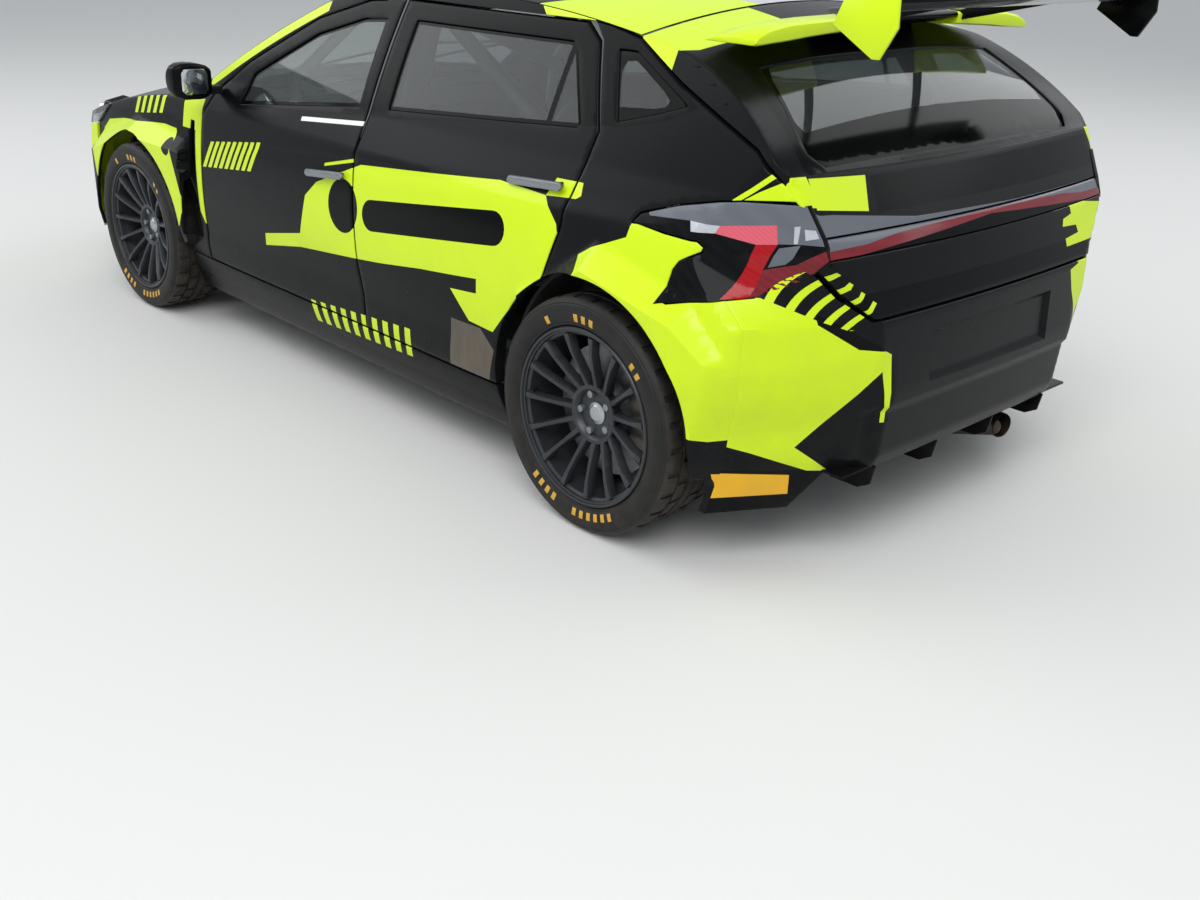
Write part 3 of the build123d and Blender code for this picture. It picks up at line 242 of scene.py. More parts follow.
def on_side(u, v):
    """Point of the left side over x, z, with the pressed-in lower door."""
    body = side_y(u, v)
    body -= 9 * bump(v, 400, 150) * bump(u, -180, 900)
    body -= 3.5 * max(0, 1 - abs(v - (802 + (u + 300) * -0.075)) / 26) * bump(u, -500, 1300)
    return Vector((u, min(max(body, flare_y(u, v)), plan_y(u, v)), v))


def on_top(u, v):
    """Point of the top over x, y."""
    return Vector((u, v, top_z(u, v)))


def on_tail(u, v):
    """Point of the tail over y, z, no further out than the sides."""
    return Vector((tail_x(u, v), u, v))


def moved(form, x=0.0, y=0.0, z=0.0):
    """The same form shifted by a few millimetres."""
    shift = Vector((x, y, z))
    return lambda u, v: form(u, v) + shift


over_top = moved(on_top, z=SKIN_LIFT)
over_side = moved(on_side, y=SKIN_LIFT)
on_pane = moved(on_side, y=-PANE_SET)
on_screen = moved(on_top, z=-PANE_SET)


# Panels
def spaced(points, step, closed=True):
    """The same outline with points no further apart than a step."""
    ends = list(points[1:]) + [points[0]] if closed else points[1:]
    made = []
    for a, b in zip(points, ends):
        n = max(1, round(dist(a, b) / step))
        made += [(a[0] + (b[0] - a[0]) * i / n, a[1] + (b[1] - a[1]) * i / n) for i in range(n)]
    return made if closed else made + [points[-1]]


def round_part(centre, radius, start, end, count):
    """Points of a circle between two angles in degrees."""
    turn = [radians(start + (end - start) * i / count) for i in range(count + 1)]
    return [(centre[0] + radius * cos(a), centre[1] + radius * sin(a)) for a in turn]


def pill(u, v, half_long, radius, tilt=0):
    """Outline of a bar with round ends."""
    ends = round_part((half_long, 0), radius, -90, 90, 10) + round_part((-half_long, 0), radius, 90, 270, 10)
    a = radians(tilt)
    return [(u + p * cos(a) - q * sin(a), v + p * sin(a) + q * cos(a)) for p, q in ends]


def whole(half):
    """Outline over x, y from its left half, which meets the middle line."""
    return half + [(x, -y) for x, y in reversed(half) if y]


def across(half):
    """Outline over y, z from its left half."""
    return half + [(-y, z) for y, z in reversed(half)]


def bars(count, first, step, far_step):
    """Row of slanted bars: the outline of the first, and how far each of its ends moves from bar to bar."""
    steps = (step, step, far_step, far_step)
    return [[(u + i * du, v + i * dv) for (u, v), (du, dv) in zip(first, steps)] for i in range(count)]


def within(points, outline):
    """True for each point inside an outline."""
    p = np.asarray(points, float).reshape(-1, 2)
    a = np.asarray(outline, float)
    b = np.roll(a, -1, axis=0)
    x, y = p[:, :1], p[:, 1:]
    cross = (a[:, 1] > y) != (b[:, 1] > y)
    with np.errstate(divide="ignore", invalid="ignore"):
        at = (b[:, 0] - a[:, 0]) * (y - a[:, 1]) / (b[:, 1] - a[:, 1]) + a[:, 0]
    return (np.where(cross, x < at, False).sum(axis=1) % 2).astype(bool)


def inside(points, outline, holes):
    """True for each point inside an outline and outside its holes."""
    keep = within(points, outline)
    for hole in holes:
        keep &= ~within(points, hole)
    return keep


def border_distance(points, loops):
    """Distance of each point from the nearest edge of the loops."""
    p = np.asarray(points, float).reshape(-1, 1, 2)
    best = np.full(len(points), 1e9)
    for loop in loops:
        a = np.asarray(loop, float)
        ab = np.roll(a, -1, axis=0) - a
        t = ((p - a) * ab).sum(axis=2) / np.maximum((ab ** 2).sum(axis=1), 1e-9)
        near = a + np.clip(t, 0, 1)[..., None] * ab
        best = np.minimum(best, np.sqrt(((p - near) ** 2).sum(axis=2)).min(axis=1))
    return best


def ring_in(points, away):
    """An outline drawn in by a distance, or out where it is negative."""
    area = sum(a[0] * b[1] - b[0] * a[1] for a, b in zip(points, points[1:] + points[:1]))
    away = away if area > 0 else -away
    made = []
    for before, here, after in zip(points[-1:] + points[:-1], points, points[1:] + points[:1]):
        n1 = Vector((before[1] - here[1], here[0] - before[0])).normalized()
        n2 = Vector((here[1] - after[1], after[0] - here[0])).normalized()
        mid = n1 + n2
        if mid.length < 0.3:
            continue
        mid = mid.normalized() * away / max(mid.normalized().dot(n1), 0.45)
        made.append((here[0] + mid.x, here[1] + mid.y))
    return made


def cut_sheet(outline, holes, lines, step):
    """Flat triangles inside an outline, split along lines: points, faces and their middles."""
    points, edges = [], []
    for number, path in enumerate([outline, *holes, *lines]):
        first = len(points)
        points.extend(path)
        edges.extend((first + i, first + i + 1) for i in range(len(path) - 1))
        if number <= len(holes):
            edges.append((len(points) - 1, first))
    low, high = np.min(outline, axis=0), np.max(outline, axis=0)
    row_step = step * 0.87
    rows = int((high[1] - low[1]) / row_step) + 1
    cols = int((high[0] - low[0]) / step) + 2
    grid = [(low[0] + (i + 0.5 * (j % 2)) * step, low[1] + (j + 0.5) * row_step)
            for j in range(rows) for i in range(cols)]
    kept = np.asarray(grid)[inside(grid, outline, holes)]
    near = border_distance(kept, [outline] + holes)
    for path in lines:
        near = np.minimum(near, border_distance(kept, [list(path) + list(reversed(path))[1:-1]]))
    points.extend(tuple(p) for p in kept[near > step * 0.55])
    flat, _, faces, _, _, _ = delaunay_2d_cdt([Vector(p) for p in points], edges, [], 0, 1e-4)
    flat = [(p.x, p.y) for p in flat]
    middles = [tuple(np.mean([flat[i] for i in face], axis=0)) for face in faces]
    keep = inside(middles, outline, holes)
    return flat, [face for face, k in zip(faces, keep) if k], [m for m, k in zip(middles, keep) if k]


def panel(name, outline, lift, inward, finishes, paint=(), holes=(), folds=(), step=14, depth=16, edge=3.0):
    """Closed pressed panel: outer skin on a form, rolled edge, turned-in rim and inner skin.
    The last finish covers the inside; a painted shape gives its number in the finishes and its outline."""
    outline = spaced(outline, step)
    holes = [spaced(hole, step) for hole in holes]
    rings = [ring_in(outline, 1.0), ring_in(outline, edge)]
    for hole in holes:
        rings += [ring_in(hole, -1.0), ring_in(hole, -edge)]
    lines = [ring + ring[:1] for ring in rings]
    lines += [spaced(list(shape) + [shape[0]], step, False) for _, shape in paint]
    lines += [spaced(fold, step, False) for fold in folds]
    flat, faces, middles = cut_sheet(outline, holes, lines, step)
    used = sorted({i for face in faces for i in face})
    place = {old: new for new, old in enumerate(used)}
    flat = [flat[i] for i in used]
    faces = [[place[i] for i in face] for face in faces]
    away = border_distance(flat, [outline] + holes)
    near = np.clip(edge - away, 0, edge)
    drop = edge - np.sqrt(edge ** 2 - near ** 2)
    inward = Vector(inward)
    skin = [lift(u, v) + inward * float(d) for (u, v), d in zip(flat, drop)]
    slots = np.zeros(len(faces), int)
    for slot, shape in paint:
        slots[within(middles, shape)] = slot
    mesh = bmesh.new()
    outer = [mesh.verts.new(p * MM) for p in skin]
    for face, slot in zip(faces, slots):
        made = mesh.faces.new([outer[i] for i in face])
        made.material_index = int(slot)
    mesh.verts.index_update()
    border = [e for e in mesh.edges if e.is_boundary]
    back = {}
    for e in border:
        for vert in e.verts:
            if vert.index not in back:
                u, v = flat[vert.index]
                back[vert.index] = mesh.verts.new((lift(u, v) + inward * depth) * MM)
    for e in border:
        a, b = e.verts
        if not any(corner.vert == a and corner.link_loop_next.vert == b for corner in e.link_faces[0].loops):
            a, b = b, a
        wall = mesh.faces.new((b, a, back[a.index], back[b.index]))
        wall.material_index = e.link_faces[0].material_index
    order = list(back)
    number = {old: new for new, old in enumerate(order)}
    rim = [flat[i] for i in order]
    rim_edges = [(number[e.verts[0].index], number[e.verts[1].index]) for e in border]
    # a thin panel needs a fine inner skin, or it would show through the outer one
    coarse = max(step * 3, 40) if depth > 6 else step
    low, high = np.min(rim, axis=0), np.max(rim, axis=0)
    grid = [(x, y) for x in np.arange(low[0], high[0], coarse) for y in np.arange(low[1], high[1], coarse)]
    keep = inside(grid, outline, holes) & (border_distance(grid, [outline] + holes) > coarse * 0.4)
    grid = [p for p, k in zip(grid, keep) if k]
    found, _, tris, origin, _, _ = delaunay_2d_cdt([Vector(p) for p in rim + grid], rim_edges, [], 0, 1e-5)
    verts = []
    for spot, source in zip(found, origin):
        if source and source[0] < len(rim):
            verts.append(back[order[source[0]]])
        else:
            verts.append(mesh.verts.new((lift(spot.x, spot.y) + inward * depth) * MM))
    centres = [tuple(np.mean([tuple(found[i]) for i in tri], axis=0)) for tri in tris]
    for tri, k in zip(tris, inside(centres, outline, holes)):
        corners = [verts[i] for i in reversed(tri)]
        if k and len(set(corners)) == 3 and not mesh.faces.get(corners):
            mesh.faces.new(corners).material_index = len(finishes) - 1
    bmesh.ops.delete(mesh, geom=[v for v in mesh.verts if not v.link_faces], context="VERTS")
    mesh.normal_update()
    out = sum((f.normal.dot(-inward) * f.calc_area() for f in mesh.faces[:len(faces)]), 0.0)
    if out < 0:
        bmesh.ops.reverse_faces(mesh, faces=mesh.faces[:])
    data = bpy.data.meshes.new(name)
    mesh.to_mesh(data)
    mesh.free()
    for finish in finishes:
        data.materials.append(finish)
    return shade(linked(name, data), 38)


def linked(name, data):
    """A new object of some data, put in the scene."""
    made = bpy.data.objects.new(name, data)
    bpy.context.scene.collection.objects.link(made)
    return made


def select_only(*pieces):
    """Selects these pieces alone; the first becomes the active one."""
    for other in bpy.context.view_layer.objects:
        other.select_set(False)
    for piece in pieces:
        piece.select_set(True)
    bpy.context.view_layer.objects.active = pieces[0]


def shade(piece, sharp):
    """The piece shaded smooth, apart from edges sharper than an angle."""
    select_only(piece)
    bpy.ops.object.shade_smooth_by_angle(angle=radians(sharp))
    return piece


def copied(piece, name, move=None):
    """A copy with its own mesh, moved by a matrix."""
    data = piece.data.copy()
    data.name = name
    if move is not None:
        data.transform(move)
    return linked(name, data)


def mirrored(piece, name):
    """The right-hand twin of a left-hand piece."""
    twin = copied(piece, name, Matrix.Scale(-1, 4, (0, 1, 0)))
    twin.data.flip_normals()
    return twin


def joined(name, *pieces):
    """Several shapes made one piece."""
    select_only(*pieces)
    bpy.ops.object.join()
    made = pieces[0]
    made.name = made.data.name = name
    return made


def in_edit(piece, *steps):
    """The piece after operators that each work on its whole mesh in edit mode."""
    select_only(piece)
    bpy.ops.object.mode_set(mode="EDIT")
    for operator, settings in steps:
        bpy.ops.mesh.select_all(action="SELECT")
        operator(**settings)
    bpy.ops.object.mode_set(mode="OBJECT")
    return piece


def applied(piece, kind, **settings):
    """The piece with a modifier added and applied."""
    mod = piece.modifiers.new(kind.lower(), kind)
    for key, value in settings.items():
        setattr(mod, key, value)
    select_only(piece)
    bpy.ops.object.modifier_apply(modifier=mod.name)
    return piece


# Hand work on pieces, in millimetres
FACE_OUT = (bpy.ops.mesh.normals_make_consistent, {"inside": False})


def lay(name, points, edges=(), faces=(), finish=None):
    """A bare shape through points."""
    data = bpy.data.meshes.new(name)
    data.from_pydata([Vector(p) * MM for p in points], edges, faces)
    if finish:
        data.materials.append(finish)
    return linked(name, data)


def grid_faces(rows, wide):
    """Faces between rows of points, each row as wide as the next."""
    return [(a * wide + i, a * wide + i + 1, (a + 1) * wide + i + 1, (a + 1) * wide + i)
            for a in range(rows - 1) for i in range(wide - 1)]


def rounded(piece, width, segments=2, sharp=35):
    """The piece with its sharp edges rounded off."""
    if width:
        applied(piece, "BEVEL", width=width * MM, segments=segments, limit_method="ANGLE")
    return shade(piece, sharp)


def plate(name, points, thick, finish, width=1.0):
    """An outline drawn out by a vector, with rounded edges."""
    draw_out = {"TRANSFORM_OT_translate": {"value": Vector(thick) * MM}}
    piece = lay(name, points, faces=[range(len(points))], finish=finish)
    return rounded(in_edit(piece, (bpy.ops.mesh.extrude_region_move, draw_out), FACE_OUT), width)


def side_plate(name, outline, near, far, finish, width=1.0):
    """Plate of an outline over x, z between two values of y."""
    return plate(name, [(x, near, z) for x, z in outline], (0, far - near, 0), finish, width)


def block(name, low, high, finish, width=2.0):
    """Box between two corners with rounded edges."""
    bpy.ops.object.select_all(action="DESELECT")
    low, high = Vector(low) * MM, Vector(high) * MM
    bpy.ops.mesh.primitive_cube_add(size=1, location=(low + high) / 2, scale=high - low)
    return fixed(name, finish, width)


def rod(name, start, end, radius, finish, width=0.0, sides=20):
    """Round bar between two points."""
    start, end = Vector(start), Vector(end)
    bpy.ops.object.select_all(action="DESELECT")
    bpy.ops.mesh.primitive_cylinder_add(
        vertices=sides, radius=radius * MM, depth=(end - start).length * MM, location=(start + end) / 2 * MM,
        rotation=(end - start).to_track_quat("Z", "Y").to_euler())
    return fixed(name, finish, width)


def fixed(name, finish, width):
    """Names the new primitive, fixes its place in its mesh and rounds its edges."""
    piece = bpy.context.view_layer.objects.active
    bpy.ops.object.transform_apply(location=True, rotation=True, scale=True)
    piece.name = piece.data.name = name
    piece.data.materials.append(finish)
    return rounded(piece, width)


def turned(name, profile, centre, finish, steps=72, sharp=30):
    """Closed profile over radius and y, spun about a line across the car."""
    x, y, z = centre
    count = len(profile)
    piece = lay(name, [(x + r, y + off, z) for r, off in profile], [(i, (i + 1) % count) for i in range(count)],
                finish=finish)
    turn = {"steps": steps, "angle": 2 * pi, "center": Vector(centre) * MM, "axis": (0, 1, 0)}
    in_edit(piece, (bpy.ops.mesh.spin, turn), (bpy.ops.mesh.remove_doubles, {"threshold": 0.01 * MM}), FACE_OUT)
    return shade(piece, sharp)


def tube(name, points, radius, finish, smooth=False, resolution=3):
    """Round tube along points."""
    curve = bpy.data.curves.new(name, "CURVE")
    curve.dimensions = "3D"
    curve.bevel_depth, curve.bevel_resolution, curve.use_fill_caps = radius * MM, resolution, True
    spline = curve.splines.new("NURBS" if smooth else "POLY")
    spline.points.add(len(points) - 1)
    for point, place in zip(spline.points, points):
        point.co = (*Vector(place) * MM, 1)
    if smooth:
        spline.order_u = 3
        spline.use_endpoint_u = True
    select_only(linked(name, curve))
    bpy.ops.object.convert(target="MESH")
    piece = bpy.context.view_layer.objects.active
    piece.data.materials.append(finish)
    return shade(piece, 60)


def ring_of(piece, centre, count):
    """Like pieces all round an axle, joined."""
    hub = Vector(centre) * MM
    spin = [Matrix.Translation(hub) @ Matrix.Rotation(2 * pi * i / count, 4, "Y") @ Matrix.Translation(-hub)
            for i in range(1, count)]
    return joined(piece.name, piece, *[copied(piece, piece.name + "_twin", turn) for turn in spin])


def lofted(name, rings, finish):
    """Closed skin through rings of the same number of points, with both ends capped."""
    wide = len(rings[0])
    skin = [(a * wide + i, a * wide + (i + 1) % wide, (a + 1) * wide + (i + 1) % wide, (a + 1) * wide + i)
            for a in range(len(rings) - 1) for i in range(wide)]
    ends = [list(range(wide)), list(range((len(rings) - 1) * wide, len(rings) * wide))]
    return in_edit(lay(name, [p for ring in rings for p in ring], faces=skin + ends, finish=finish), FACE_OUT)


def set_on(body, piece, *nodes):
    """Lets a piece move with a body and stand for CAD nodes."""
    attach(piece, body)
    if nodes:
        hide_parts(*nodes)
    return piece


# Finishes
def colour(code):
    """sRGB hex to the linear colour that the shader takes."""
    parts = [int(code[i:i + 2], 16) / 255 for i in (1, 3, 5)]
    return (*[c / 12.92 if c <= 0.04045 else ((c + 0.055) / 1.055) ** 2.4 for c in parts], 1.0)


def fill(tree, node, inputs):
    """Fills or links the inputs of a node."""
    for name, value in inputs.items():
        if isinstance(value, bpy.types.NodeSocket):
            tree.links.new(value, node.inputs[name])
        else:
            node.inputs[name].default_value = value


def add(tree, kind, inputs, out=0, **settings):
    """Adds a node with its settings and its inputs, and gives the output asked for."""
    made = tree.nodes.new("ShaderNode" + kind)
    for name, value in settings.items():
        setattr(made, name, value)
    fill(tree, made, inputs)
    return made.outputs[out]


def start(name, **plain):
    """A new material with its shader's plain values, and the place on the object."""
    mat = bpy.data.materials.new(name)
    mat.use_nodes = True
    shader = mat.node_tree.nodes["Principled BSDF"]
    for socket, value in plain.items():
        shader.inputs[socket.replace("_", " ")].default_value = value
    return mat, mat.node_tree, shader, add(mat.node_tree, "TexCoord", {}, "Object")


def dress(tree, shader, under, share, over, rough=None, relief=None):
    """Links the colour, one laid over another by a share; the roughness; and the fine relief.
    rough is what it follows, the range of that and its own range; relief is a height, its strength and depth in mm."""
    tones = [colour(tone) if isinstance(tone, str) else tone for tone in (under, over)]
    inputs = {"Base Color": add(tree, "Mix", {0: share, 6: tones[0], 7: tones[1]}, 2, data_type="RGBA")}
    if rough:
        names = ("Value", "From Min", "From Max", "To Min", "To Max")
        inputs["Roughness"] = add(tree, "MapRange", dict(zip(names, rough)))
    if relief:
        inputs["Normal"] = add(tree, "Bump", {"Height": relief[0], "Strength": relief[1], "Distance": relief[2] * MM})
    fill(tree, shader, inputs)


def wave_scale(pitch):
    """Scale at which one wave spans two lines of a pitch in millimetres, one up and one down."""
    return 1000.0 / pitch / 6.28


def patches(tree, place, scale, detail, low, high, most=1.0, rough=0.5):
    """Share from 0 up to a most, in soft patches: cloudy noise between two of its levels."""
    cloud = add(tree, "TexNoise", {"Vector": place, "Scale": scale, "Detail": detail, "Roughness": rough})
    return add(tree, "MapRange", {"Value": cloud, "From Min": low, "From Max": high, "To Max": most})


def road_dust(tree, place, most):
    """Share of dust: more toward the sills and in patches."""
    height = add(tree, "SeparateXYZ", {"Vector": place}, "Z")
    low = add(tree, "MapRange", {"Value": height, "From Min": 0.78, "From Max": 0.16, "To Min": 0.05})
    patch = patches(tree, place, 9.0, 7.0, 0.36, 0.74, most, 0.68)
    return add(tree, "Math", {0: low, 1: patch}, operation="MULTIPLY")


def film_face(tree, shader, place, tone, dust, dirt, rough, dulled):
    """Face of a vinyl film: its tone, the road dust that dulls it, and ripples where it was stretched."""
    share = road_dust(tree, place, dust)
    ripple = add(tree, "TexNoise", {"Vector": place, "Scale": 60.0, "Detail": 3.0})
    dress(tree, shader, tone, share, dirt, (share, 0.0, 0.5, rough, dulled), (ripple, 0.03, 0.8))


def wrap_film(name, code, second, rough=0.3, dust=0.2, coat=0.12, dirt="#7d766b", gloss=0.3):
    """Cast vinyl laid over the paint: a colour that hardly varies, under a soft gloss."""
    mat, tree, shader, place = start(name, Coat_Weight=coat, Coat_Roughness=0.12, IOR=1.45, Specular_IOR_Level=gloss)
    cloud = patches(tree, place, 3.0, 2.0, 0.3, 0.7, 0.22)
    tone = add(tree, "Mix", {0: cloud, 6: colour(code), 7: colour(second)}, 2, data_type="RGBA")
    film_face(tree, shader, place, tone, dust, dirt, rough, 0.72)
    return mat


def grained_plastic(name, code, rough=0.55, grain=900.0, dust=0.3):
    """Moulded ABS or polypropylene: spark-eroded grain of about a millimetre, dulled by dust."""
    mat, tree, shader, place = start(name, IOR=1.5, Specular_IOR_Level=0.25)
    share = road_dust(tree, place, dust)
    cloud = add(tree, "TexNoise", {"Vector": place, "Scale": 30.0, "Detail": 4.0})
    pits = add(tree, "TexNoise", {"Vector": place, "Scale": grain, "Detail": 2.0})
    dress(tree, shader, code, share, "#6f695f", (cloud, 0.3, 0.7, rough - 0.08, rough + 0.1), (pits, 0.22, 0.6))
    return mat


def worked_metal(name, code, rough=0.42, metallic=1.0, grit=500.0, dust=0.2, soil="#6d655a"):
    """Cast, machined or painted metal: a cloudy sheen, grime in patches, grit drawn 2 mm wide or more to show."""
    mat, tree, shader, place = start(name, Metallic=metallic)
    share = patches(tree, place, 22.0, 6.0, 0.42, 0.8, dust, 0.7)
    sheen = add(tree, "TexNoise", {"Vector": place, "Scale": 45.0, "Detail": 4.0})
    pits = add(tree, "TexNoise", {"Vector": place, "Scale": grit, "Detail": 2.0})
    dress(tree, shader, code, share, soil, (sheen, 0.3, 0.7, rough - 0.08, rough + 0.12), (pits, 0.15, 0.4))
    return mat


def shell_coats(name):
    """Body-in-white: sprayed enamel in the cabin, painted dark grey as the shade in the door gaps and the cabin;
    tar-like stone guard low down and in the arches.
    """
    mat, tree, shader, place = start(name, IOR=1.5)
    height = add(tree, "SeparateXYZ", {"Vector": place}, "Z")
    share = add(tree, "MapRange", {"Value": height, "From Min": 0.2, "From Max": 0.184})
    for (x, z), radius in ((FRONT_AXLE, FRONT_ARCH), (REAR_AXLE, REAR_ARCH)):
        away = add(tree, "VectorMath", {0: place, 1: (x * MM, 0, z * MM)}, operation="SUBTRACT")
        flat = add(tree, "VectorMath", {0: away, 1: (1, 0, 1)}, operation="MULTIPLY")
        far = add(tree, "VectorMath", {0: flat}, "Value", operation="LENGTH")
        arch = add(tree, "Math", {0: far, 1: (radius + 3) * MM}, operation="LESS_THAN")
        share = add(tree, "Math", {0: share, 1: arch}, operation="MAXIMUM")
    grime = road_dust(tree, place, 0.4)
    coat = add(tree, "TexNoise", {"Vector": place, "Scale": 140.0, "Detail": 4.0})
    # the first colour is the cabin enamel, painted dark grey as the shade in the door gaps and the cabin
    tone = add(tree, "Mix", {0: share, 6: colour("#3c3f43"), 7: colour("#171716")}, 2, data_type="RGBA")
    dress(tree, shader, tone, grime, "#7d7362", (share, 0.0, 1.0, 0.42, 0.86), (coat, 0.2, 1.2))
    return mat


def front_livery(name):
    """Vinyl in two colours: fluorescent outer corners cut off on a slant, black toward the middle."""
    mat, tree, shader, place = start(name, Coat_Weight=0.08, Coat_Roughness=0.15, IOR=1.45, Specular_IOR_Level=0.2)
    split = tree.nodes.new("ShaderNodeSeparateXYZ")
    fill(tree, split, {"Vector": add(tree, "VectorMath", {0: place}, operation="ABSOLUTE")})
    slant = add(tree, "Math", {0: split.outputs["Z"], 1: -0.45, 2: 0.76}, operation="MULTIPLY_ADD")
    corner = add(tree, "Math", {0: split.outputs["Y"], 1: slant}, operation="GREATER_THAN")
    above = add(tree, "Math", {0: split.outputs["Z"], 1: 0.235}, operation="GREATER_THAN")
    yellow_share = add(tree, "Math", {0: corner, 1: above}, operation="MULTIPLY")
    tone = add(tree, "Mix", {0: yellow_share, 6: colour("#0d0e0f"), 7: colour("#c8e40e")}, 2, data_type="RGBA")
    film_face(tree, shader, place, tone, 0.08, "#7d766b", 0.28, 0.7)
    return mat


def turned_steel(name):
    """Brake disc face: rings left by the lathe, drawn 6 mm apart to show, browned in patches."""
    mat, tree, shader, place = start(name, Metallic=1.0, Roughness=0.34)
    share = patches(tree, place, 35.0, 5.0, 0.4, 0.75, 0.5)
    rings = add(tree, "TexWave", {"Vector": place, "Scale": 50.0, "Distortion": 0.6}, 1,
                wave_type="RINGS", rings_direction="Y")
    dress(tree, shader, "#8b8d90", share, "#5a4a3c", relief=(rings, 0.12, 0.5))
    return mat


def tyre_rubber(name, code, dusty):
    """Vulcanised rubber: near black and dull, dried dust rubbed in, most of it low on the wall."""
    mat, tree, shader, place = start(name, IOR=1.5, Specular_IOR_Level=0.3)
    patch = patches(tree, place, 16.0, 8.0, 0.38, 0.78, dusty, 0.75)
    height = add(tree, "SeparateXYZ", {"Vector": place}, "Z")
    low = add(tree, "MapRange", {"Value": height, "From Min": 0.5, "From Max": 0.05, "To Min": 0.35})
    share = add(tree, "Math", {0: low, 1: patch}, operation="MULTIPLY")
    pits = add(tree, "TexNoise", {"Vector": place, "Scale": 260.0, "Detail": 4.0})
    dress(tree, shader, code, share, "#8a7c66", (share, 0.0, 0.5, 0.55, 0.85), (pits, 0.3, 0.8))
    return mat


def car_glass(name, code, dirt, clear=0.95):
    """Float glass with the tint of its melt, and a film of dust that dulls it in patches."""
    mat, tree, shader, place = start(name, IOR=1.35, Transmission_Weight=clear, Specular_IOR_Level=0.35)
    share = patches(tree, place, 12.0, 7.0, 0.45, 0.85, dirt, 0.7)
    dress(tree, shader, code, share, "#9a958b", (share, 0.0, 0.3, 0.0, 0.25))
    return mat


def lamp_acrylic(name, code, dark, clear, rib=6.0, gloss=0.25):
    """Injection moulded acrylic: deep colour, optical ribs a few millimetres apart under a polished face."""
    mat, tree, shader, place = start(name, IOR=1.49, Transmission_Weight=clear, Specular_IOR_Level=gloss, Roughness=0.1)
    turn = add(tree, "Mapping", {"Vector": place, "Rotation": (0.0, radians(35), 0.0)})
    ribs = add(tree, "TexWave", {"Vector": turn, "Scale": wave_scale(rib)}, 1, bands_direction="Z")
    share = add(tree, "MapRange", {"Value": ribs, "To Max": 0.3})
    dress(tree, shader, code, share, dark, relief=(ribs, 0.1, 0.6))
    return mat


def carbon_laminate(name):
    """Twill carbon cloth under clear resin: 6 mm tows that cross, darker and lighter as they turn."""
    mat, tree, shader, place = start(name, Coat_Weight=0.8, Coat_Roughness=0.06, Roughness=0.42)
    colours = {"Vector": place, "Scale": 160.0, "Color1": colour("#1d1f22"), "Color2": colour("#33363a")}
    tows = add(tree, "TexChecker", colours)
    share = patches(tree, place, 10.0, 6.0, 0.45, 0.8, 0.35)
    lift = add(tree, "RGBToBW", {"Color": tows})
    dress(tree, shader, tows, share, "#4b4a47", relief=(lift, 0.3, 0.4))
    return mat


def woven_cloth(name, code, second, thread):
    """Woven polyester: threads that cross, drawn 1.6 mm apart or wider to show, with a soft nap."""
    mat, tree, shader, place = start(name, Roughness=0.92, Sheen_Weight=0.35)
    warp, weft = [add(tree, "TexWave", {"Vector": place, "Scale": wave_scale(thread), "Distortion": 0.4}, 1,
                      bands_direction=way) for way in "YZ"]
    cross = add(tree, "Math", {0: warp, 1: weft}, operation="MULTIPLY")
    dress(tree, shader, second, cross, code, relief=(cross, 0.5, 0.8))
    return mat


def mesh_fabric(name, code, hole):
    """Expanded metal or mesh: rows of openings that step sideways, painted near black as the shade behind them."""
    mat, tree, shader, place = start(name, Metallic=0.6, Roughness=0.45)
    dots = add(tree, "TexVoronoi", {"Vector": place, "Scale": 1000.0 / hole, "Randomness": 0.15}, "Distance")
    opening_shade_share = add(tree, "MapRange", {"Value": dots, "From Min": 0.42, "From Max": 0.34})
    dress(tree, shader, code, opening_shade_share, "#050505", relief=(dots, 0.7, 2.0))
    return mat


def stained_guard(name):
    """Thick clear stone guard gone brown: mud smeared downward under a scratched face."""
    mat, tree, shader, place = start(name, Coat_Weight=0.4, Coat_Roughness=0.3)
    streak = add(tree, "Mapping", {"Vector": place, "Scale": (30.0, 30.0, 5.0)})
    share = patches(tree, streak, 1.0, 8.0, 0.3, 0.7, rough=0.7)
    dress(tree, shader, "#5b4a36", share, "#2b2b22", (share, 0.0, 1.0, 0.5, 0.25), (share, 0.2, 1.0))
    return mat


graphite = wrap_film("graphite_wrap_vinyl", "#111214", "#0b0c0d", 0.27, 0.07, 0.02, "#5d5850", 0.11)
black_film = wrap_film("black_wrap_vinyl", "#0a0b0c", "#060607", 0.24, 0.05, 0.02, "#5d5850", 0.09)
# on the roof this pale silver is painted as the sky reflected in the roof
silver_film_and_sky_sheen = wrap_film("silver_vinyl_and_painted_sky_reflection", "#b9bcc0", "#8e9296", 0.3, 0.15)
yellow = wrap_film("fluorescent_yellow_vinyl", "#c8e40e", "#b9d60a", 0.32, 0.22, 0.15, "#8f8a5a", 0.35)
amber_film = wrap_film("amber_label_vinyl", "#eeb414", "#e0a40e", 0.34, 0.2)
white_film = wrap_film("white_label_vinyl", "#e8e8e4", "#d0d0cc", 0.35, 0.2)
gloss_black = wrap_film("gloss_black_acrylic", "#070808", "#040404", 0.1, 0.02, 0.0, "#5d5850", 0.1)
plastic = grained_plastic("grained_black_polypropylene", "#131416", dust=0.18)
seal = grained_plastic("extruded_window_rubber", "#0c0d0e", 0.7)
inner_trim = grained_plastic("moulded_inner_trim", "#24262a", 0.75, 500.0, 0.1)
suede = grained_plastic("brushed_black_suede", "#131314", 0.95, 300.0, 0.0)
red_button = grained_plastic("red_moulded_abs", "#b3161c", 0.4, 900.0, 0.05)
cabin_shade_enamel = shell_coats("cabin_enamel_darkened_as_shade_and_stone_guard")
tube_steel = worked_metal("painted_cage_steel", "#d3d7da", 0.38, 0.1, 200.0, 0.1)
anthracite = worked_metal("anthracite_painted_alloy", "#34373b", 0.36, 0.45, 500.0, 0.3, "#4c4842")
alloy = worked_metal("machined_aluminium", "#b4b8bb", 0.3)
